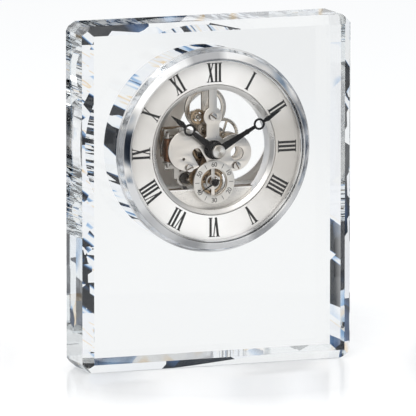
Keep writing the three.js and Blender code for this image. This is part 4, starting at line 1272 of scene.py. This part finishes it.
# Circuit board
# A small resin-bonded board behind the back plate, with the bonded chip under a drop of black resin.
# The quartz crystal stands beside it in its little can, and six solder drops mark where wires end.
def board_brown():
    finish = Finish("board_brown")
    x, _, z, _ = finish.place()
    cloud = finish.grain(300.0, 2.0)
    lanes = (x * 5200.0 + (z * 2600.0).sine() * 1.4).sine() > 0.8
    base = finish.blend(cloud, (0.2, 0.135, 0.08), (0.27, 0.19, 0.12))
    tone = finish.blend(lanes * 0.6, base, (0.4, 0.3, 0.2))
    return finish.surface(tone, cloud * 0.1 + 0.32, 0.0, lanes, 1.2e-5)


board_holes = [circle(-11, -7.6, 2.0), circle(-19.4, 8.4, 0.5, 20), circle(-10.6, 8.4, 0.5, 20)]
board_loops = loops_of([oblong(-20.5, -9.5, -3.5, 9.5)], board_holes)
shown(plate_mesh(board_loops, 9.9, 0.8, 0.06, rounds=1), "bonded_board", "insert", "board", board_brown(),
      "circuit_board")
resin_profile = [(0, 10.6), (2.2, 10.6), (2.15, 10.85), (1.8, 11.15), (1.1, 11.35), (0, 11.4)]
resin = steel_finish("resin_drop", (0.012, 0.012, 0.013), 0.28, 0.1, relief=2e-5, shine=0.0)
shown(ring_mesh(resin_profile, 48, at(-13.4, 1.0), closed=False), "resin_drop", "insert", "board", resin,
      "circuit_board", smooth=60)
solder = chrome_finish("solder", (0.72, 0.72, 0.72), 0.3)
drop = [(0, 10.65), (0.42, 10.65), (0.36, 10.85), (0.18, 11.0), (0, 11.04)]
drop_spots = ((-19.6, -1.0), (-19.6, 0.4), (-10.4, 5.8), (-10.4, 7.0), (-16.8, -2.6), (-12.6, -2.6))
for number, spot in enumerate(drop_spots, 1):
    mesh = ring_mesh(drop, 20, at(*spot), closed=False)
    shown(mesh, f"solder_{number}", "insert", "board", solder, smooth=70)
can_at = (-18.5, 11.9, 4.5)
can_profile = [(0, -3), (0.62, -3), (0.9, -2.7), (0.9, 3.0), (0.8, 3.0), (0.8, 2.85), (0, 2.85)]
shown(stood_up(ring_mesh(softened(can_profile, 0.1, 2), 32, closed=False), *can_at), "quartz_tube",
      "insert", "chrome", solder, "quartz_can")


# Battery tray
# A moulded tray under the movement, open at the back, that takes one cell lying across.
# Its top is painted white as light, and its upright faces a darker satin grey as shade; these show below the
# seconds dial.
tray_low, tray_high = reach_of("battery_box")


def rounded_box(low, high, radius, steps=3):
    """A block between two corners, in mm from the clock's centre, with every edge rounded."""
    bm = corner_bm(clock_origin + Vector(low), clock_origin + Vector(high))
    bmesh.ops.bevel(bm, geom=bm.edges[:], offset=radius * MM, segments=steps, profile=0.5, affect="EDGES")
    return kept_mesh(bm)


def tray_mesh():
    """The tray, hollowed out through its open back."""
    wall = Vector((tray_wall, tray_wall, tray_wall))
    room_high = (tray_high.x - tray_wall, tray_high.y + 2, tray_high.z - tray_wall)
    room = rounded_box(tray_low + wall, room_high, 0.3, 2)
    return cut_by(rounded_box(tray_low, tray_high, 0.35), room)


def tray_finish(top):
    """White moulding with a fine grain; painted light and shade make its top white and its upright faces a
    darker, part-metallic satin grey.
    """
    finish = Finish("tray_plastic")
    _, _, z, _ = finish.place()
    grain = finish.grain(3200.0, 3.0)
    cloud = finish.grain(60.0, 2.0)
    # Painted light and shade: white on the top, a darker satin grey with some metallic gloss on the upright
    # faces below it.
    side_shade_mask = z < (clock_origin.z + top - 0.3) * MM
    side_shade_tone = finish.blend(cloud, (0.76, 0.73, 0.69), (0.88, 0.86, 0.83))
    tone = finish.blend(side_shade_mask, (0.97, 0.96, 0.94), side_shade_tone)
    return finish.surface(tone, (grain - 0.5) * 0.1 + 0.28, side_shade_mask * 0.45, grain, 1e-5)


tray_plastic = tray_finish(tray_high.z)
shown(tray_mesh(), "cell_tray", "insert", "tray", tray_plastic, "battery_box")
bronze = steel_finish("contact_bronze", (0.2, 0.15, 0.11), 0.24, 0.14)
on_tray = tray_high.z + 0.02
rails = (
    ("left_rail", -25.0, -9.5, 4.2, 4.9),
    ("left_back_rail", -25.0, -12.0, 6.6, 7.4),
    ("right_rail", 9.5, 25.5, 4.6, 6.4),
    ("right_back_rail", 12.0, 25.5, 8.0, 9.0),
)
for name, left, right, front, back in rails:
    rail = rounded_box((left, front, on_tray), (right, back, on_tray + 0.3), 0.1, 2)
    shown(rail, name, "insert", "plate_steel", bronze)
lead_posts = (
    ("lead_block", 9.4, 11.0, 3.9, 6.1, 1.5),
    ("lead_foot", -11.8, -10.6, 3.7, 5.5, 1.2),
)
for name, left, right, front, back, height in lead_posts:
    foot = tray_high.z + 0.2
    post = rounded_box((left, front, foot), (right, back, foot + height), 0.2)
    shown(post, name, "insert", "black", resin)


# Cell and contacts
# One AAA cell in a plain sleeve, between a coiled wire spring at one end and a domed leaf at the other.
# Both contacts are clipped into the tray's end walls, and the cell springs in between them from the back.
cell_y, cell_z = 12.5, -24.5
cell_radius, cell_length = 5.25, 44.5


def sleeve_finish():
    finish = Finish("cell_sleeve")
    x = finish.place()[0]
    cloud = finish.grain(400.0, 2.0)
    band = x / MM - clock_origin.x > 11.0
    body = finish.blend(cloud, (0.05, 0.055, 0.06), (0.075, 0.08, 0.088))
    cap = finish.blend(cloud, (0.5, 0.36, 0.2), (0.6, 0.44, 0.26))
    return finish.surface(finish.blend(band, body, cap), cloud * 0.12 + 0.26, band * 0.4 + 0.5)


half = cell_length / 2
turn_in = cell_radius - 0.35
sleeve = [
    (0.6, -half + 0.1), (turn_in, -half + 0.1), (cell_radius, -half + 0.45), (cell_radius, half - 1.25),
    (turn_in, half - 0.9), (3.6, half - 0.9), (3.6, half - 0.7), (0.6, half - 0.7),
]
shown(stood_up(ring_mesh(softened(sleeve, 0.2), 96), 0, cell_y, cell_z, "X"), "cell_sleeve",
      "battery", "cell", sleeve_finish(), "battery")
ends = [(0, -half), (3.9, -half), (4.0, -half + 0.3)]
ends += [(4.0, half - 0.85), (1.9, half - 0.85), (1.9, half), (0, half)]
cell_steel = steel_finish("cell_steel", (0.7, 0.69, 0.68), 0.25, 0.1)
shown(stood_up(ring_mesh(softened(ends, 0.2), 64, closed=False), 0, cell_y, cell_z, "X"), "cell_ends",
      "battery", "cell", cell_steel, "battery")
contact_metal = chrome_finish("contact_metal", (0.78, 0.76, 0.72), 0.2)
leaf_low, leaf_high = reach_of("positive_contact")
leaf_x = leaf_high.x - 0.3
leaf = rounded_box((leaf_x, leaf_low.y, leaf_low.z), leaf_high, 0.08, 2)
fixed_steel(leaf, "contact_leaf", contact_metal, "positive_contact")
dome_foot = leaf_x - leaf_low.x + 0.05
dome = ring_mesh(softened([(0, 0), (1.0, 0), (1.6, dome_foot), (0, dome_foot)], 0.3), 40, closed=False)
dome = stood_up(dome, leaf_low.x, cell_y, cell_z, "X")
fixed_steel(dome, "contact_dome", contact_metal, "positive_contact")


def spring_mesh(wire=0.25, turns=3, wide=3.4, narrow=1.6, around=40):
    """A spring that narrows from the tray's wall to the cell."""
    low, high = reach_of("battery_spring")
    start, end = low.x + wire, high.x - wire
    steps = turns * around
    points = []
    for i in range(steps + 1):
        share = i / steps
        angle = 2 * math.pi * turns * share
        radius = wide - (wide - narrow) * share
        x = start + (end - start) * share
        points.append((x, cell_y + radius * math.cos(angle), cell_z + radius * math.sin(angle)))
    return tube_mesh(points, wire, 8)


shown(spring_mesh(), "cone_spring", "insert", "plate_steel", contact_metal, "battery_spring", smooth=70)


# Studio
# A pale floor, one large soft lamp and an even sky. Two drums of card stand round the table, which only cut
# glass and polished metal show: close by, boards with dark, blue and warm patches, and further out, white
# boards with two patched strips. What looks straight through the block sees past the close ones.
def seen_by(finish, *kinds):
    """1 for the kinds of ray that are named, and 0 for all others."""
    total = finish.light_path(kinds[0])
    for kind in kinds[1:]:
        total = total + finish.light_path(kind)
    return total.at_most(1.0)


def studio_sky():
    finish = Finish("studio_sky", world=True)
    shows = seen_by(finish, "Is Camera Ray", "Is Glossy Ray", "Is Transmission Ray")
    colour = finish.blend(shows, (0.8, 0.81, 0.82), (1.0, 1.0, 1.0))
    return finish.done(finish.node("ShaderNodeBackground", None, {"Color": colour, "Strength": 1.0}))


def clamp(value):
    return value.at_least(0.0).at_most(1.0)


def near(value, middle, half, edge):
    """1 within half of the middle, falling to 0 over the edge beyond it."""
    return clamp(((value - middle).size() * -1.0 + half + edge) * (1.0 / edge))


def crisp_patches(finish, spot, fine, lift):
    """White with black, blue and a little warm colour, in slanted patches as sharp as cut card."""
    lifted = finish.node("ShaderNodeVectorMath", {"operation": "ADD"}, {0: spot, 1: (0, 0, -0.036)})
    slant = finish.node("ShaderNodeMapping", None, {
        "Vector": lifted,
        "Rotation": (0.3, 0.785, 0.2),
        "Scale": (46.0, 46.0, 46.0),
    })
    patches = []
    for scale in (0.9, 2.4):
        cell = finish.node("ShaderNodeTexVoronoi", {"distance": "CHEBYCHEV"}, {
            "Vector": slant,
            "Scale": scale,
            "Randomness": 0.85,
        }, "Color")
        patches.append(finish.node("ShaderNodeSeparateColor", None, {0: cell}))
    soft = finish.node("ShaderNodeTexNoise", None, {"Vector": slant, "Scale": 0.6, "Detail": 2.0})
    cells = patches[0] * (1 - fine) + patches[1] * fine
    share = (cells - 0.5) * (fine * 0.5 + 0.45) + (soft - 0.5) * 0.45 + 0.485 - fine * 0.03 + lift
    return slant, finish.ramp(
        share,
        (0.355, (0.006, 0.009, 0.015)),
        (0.39, (0.03, 0.08, 0.19)),
        (0.412, (0.35, 0.55, 0.82)),
        (0.43, (0.97, 0.98, 1.0)),
        (0.585, (1.0, 1.0, 1.0)),
        (0.6, (0.93, 0.72, 0.46)),
        (0.615, (0.96, 0.97, 1.0)),
    )


def card_surface(finish, tone):
    return finish.node("ShaderNodeEmission", None, {"Color": tone, "Strength": 1.0})


def near_finish():
    """The close boards. Turns are in radians, from straight behind the table towards the right."""
    finish = Finish("near_cards")
    x, y, z, spot = finish.place()
    turn = x.turn_from(y)
    side = turn.size()
    glassy = seen_by(finish, "Is Transmission Ray")
    depth = finish.light_path("Ray Depth")

    # Behind the table and underneath the patches are crisp, and fine to the sides.
    behind = clamp(y * 6.0 + 0.6)
    under = z < -0.3
    deep = glassy * (depth > 3.5)
    fine = clamp(clamp((side - 0.62) * 8.0) * behind + under * 0.7) * (1 - deep)
    calm = near(turn, -0.5, 0.045, 0.18) + (z > 0.085) * near(turn, -0.35, 0.4, 0.05)
    low = clamp((z + 0.015) * -40.0) * near(turn, -0.25, 0.5, 0.02)
    lean = (z - 0.12).at_least(0.0) + (z * -3.0).at_least(0.0)
    heights = near(z, 0.095, 0.06, 0.02) + near(z, -0.035, 0.015, 0.01)
    arc = near(turn - lean, -0.512, 0.012, 0.012) * heights
    slant, crisp = crisp_patches(finish, spot, fine, clamp(calm + low) * 0.12 - arc * 0.3)

    # In front of the table one wide dark flag stands among soft clouds, for the polished metal.
    flag = near(turn, -2.39, 0.16, 0.12) * near(z, 0.08, 0.035, 0.04)
    wide = finish.node("ShaderNodeTexNoise", None, {"Vector": slant, "Scale": 0.11, "Detail": 1.0})
    gentle = finish.ramp(
        wide + clamp((side - 2.3) * 2.5) * 0.1 - flag * 0.3,
        (0.34, (0.015, 0.025, 0.045)),
        (0.4, (0.2, 0.27, 0.36)),
        (0.47, (0.74, 0.725, 0.7)),
        (0.57, (1.0, 0.99, 0.975)),
    )
    tone = finish.blend(clamp(behind + deep + under), gentle, crisp)

    # Metal alone sees level grey bands at the right.
    bands = (z * 70.0 - 2.3).sine() * 0.07 + 0.47
    grey_bands = finish.ramp(
        bands, (0.4, (0.1, 0.105, 0.11)), (0.47, (0.5, 0.495, 0.49)), (0.54, (0.95, 0.95, 0.945)))
    tone = finish.blend(near(turn, 1.03, 0.25, 0.15) * (1 - glassy), tone, grey_bands)

    # A ray with few bends behind it goes on through the boards.
    ahead = near(turn, 0.366, 0.27, 0.02)
    around = near(turn, 0.4, 0.35, 0.05)
    level = (z < 1.125 - around) * (z > around - 1.075)
    straight = (depth < 2.5) * level * ahead.at_least(glassy)
    past = finish.node("ShaderNodeBsdfTransparent")
    return finish.done(finish.mixed(straight, card_surface(finish, tone), past))


def far_finish():
    """White boards with a patched strip at each side of what the photo's camera looks at."""
    finish = Finish("far_cards")
    x, y, z, spot = finish.place()
    turn = x.turn_from(y)
    direct = finish.light_path("Ray Depth") < 3.5
    strips = (near(turn, -0.145, 0.08, 0.01) + near(turn, 0.88, 0.16, 0.04)) * direct
    slope = z + x + 0.13
    boards = near(slope, -0.014, 0.008, 0.003) + near(slope, -0.0385, 0.007, 0.004)
    boards = boards + near(slope, -0.0555, 0.004, 0.006)
    left = turn > 0.4
    steps = (slope * 465.0).sine() * 0.09
    lift = (1 - left) * (0.1 - boards * 0.3) + left * (steps - 0.01)
    _, crisp = crisp_patches(finish, spot, left * 0.5, lift)
    return finish.done(card_surface(finish, finish.blend(strips, (1.0, 1.0, 1.0), crisp)))


def card_drum(name, radius, low, high, material):
    """A drum of cards round the table, closed underneath, that only cut glass and metal show."""
    steps = 72
    ring = [(x, y) for y, x in circle(0, 0, radius, steps)]
    verts = [(x, y, z) for z in (low, high) for x, y in ring]
    faces = [(i, (i + 1) % steps, (i + 1) % steps + steps, i + steps) for i in range(steps)]
    faces.append(tuple(range(steps)))
    mesh = bpy.data.meshes.new(name)
    mesh.from_pydata(verts, [], faces)
    mesh.materials.append(material)
    item = added(bpy.data.objects.new(name, mesh))
    item.visible_camera = False
    item.visible_diffuse = False
    item.visible_shadow = False


def floor_finish():
    """White card that keeps the shadow. Glass and chrome see past its edge to the cards round the table."""
    finish = Finish("pale_floor")
    x, y, _, _ = finish.place()
    cloud = finish.grain(2.0)
    glossed = finish.node("ShaderNodeBsdfPrincipled", None, {
        "Base Color": finish.blend(cloud, (0.8, 0.8, 0.8), (0.81, 0.81, 0.81)),
        "Emission Color": (1, 1, 1),
        "Emission Strength": 0.11,
        "Roughness": cloud * 0.04 + 0.16,
        "IOR": 1.3,
    })
    matt = finish.node("ShaderNodeBsdfDiffuse", None, {"Color": (0.84, 0.84, 0.84)})
    glow = finish.node("ShaderNodeEmission", None, {"Color": (1, 1, 1), "Strength": 0.19})
    plain = finish.node("ShaderNodeAddShader", None, {0: matt, 1: glow})
    distance = (x * x + y * y) ** 0.5
    paint = finish.mixed(clamp(distance * 16.0 - 1.4), glossed, plain)
    dim = finish.node("ShaderNodeEmission", None, {"Color": (0.12, 0.125, 0.135), "Strength": 1.0})
    mirrored = seen_by(finish, "Is Glossy Ray")
    paint = finish.mixed(mirrored * 0.4, paint, dim)
    open_to = (distance > 0.22) * mirrored + seen_by(finish, "Is Transmission Ray")
    past = finish.node("ShaderNodeBsdfTransparent")
    return finish.done(finish.mixed(open_to.at_most(1.0), paint, past))


def floor_plane(half=4.0, drop=0.0002):
    mesh = bpy.data.meshes.new("floor")
    corners = oblong(-half, half, -half, half)
    mesh.from_pydata([(x, y, -drop) for x, y in corners], [], [(0, 1, 2, 3)])
    mesh.materials.append(floor_finish())
    added(bpy.data.objects.new("floor", mesh))


def soft_lamp(spot, target, size, power):
    light = bpy.data.lights.new("soft_lamp", "AREA")
    light.shape = "DISK"
    light.size = size
    light.energy = power
    item = added(bpy.data.objects.new("soft_lamp", light))
    item.location = spot
    item.rotation_euler = (Vector(target) - Vector(spot)).to_track_quat("-Z", "Y").to_euler()


def long_camera():
    """A camera far off with a long lens, 21 degrees left of the clock's front and a little above it."""
    turn, tilt = math.radians(21), math.radians(8.5)
    ahead = Vector((math.sin(turn) * math.cos(tilt), math.cos(turn) * math.cos(tilt), -math.sin(tilt)))
    pixels = 416
    pixels_per_metre_away = 9000.0
    distance = 3.93
    aim = Vector((0, 0, 0.076))
    data = bpy.data.cameras.new("camera")
    data.sensor_width = 36
    data.lens = data.sensor_width * pixels_per_metre_away / pixels
    data.shift_x = -0.6 / pixels
    data.shift_y = -18.0 / pixels
    data.clip_end = 100
    item = added(bpy.data.objects.new("camera", data))
    item.location = aim - ahead * distance
    item.rotation_euler = ahead.to_track_quat("-Z", "Y").to_euler()
    bpy.context.scene.camera = item


scene = bpy.context.scene
scene.view_settings.view_transform = "Standard"
scene.cycles.max_bounces = 24
scene.cycles.transmission_bounces = 24
scene.cycles.glossy_bounces = 12
scene.cycles.transparent_max_bounces = 24
floor_plane()
card_drum("near_cards", 0.32, -0.35, 0.45, near_finish())
card_drum("far_cards", 0.9, -1.1, 1.2, far_finish())
long_camera()
soft_lamp((-0.9, -1.4, 1.5), target=(0, 0, 0.08), size=1.2, power=28)
scene.world = studio_sky()
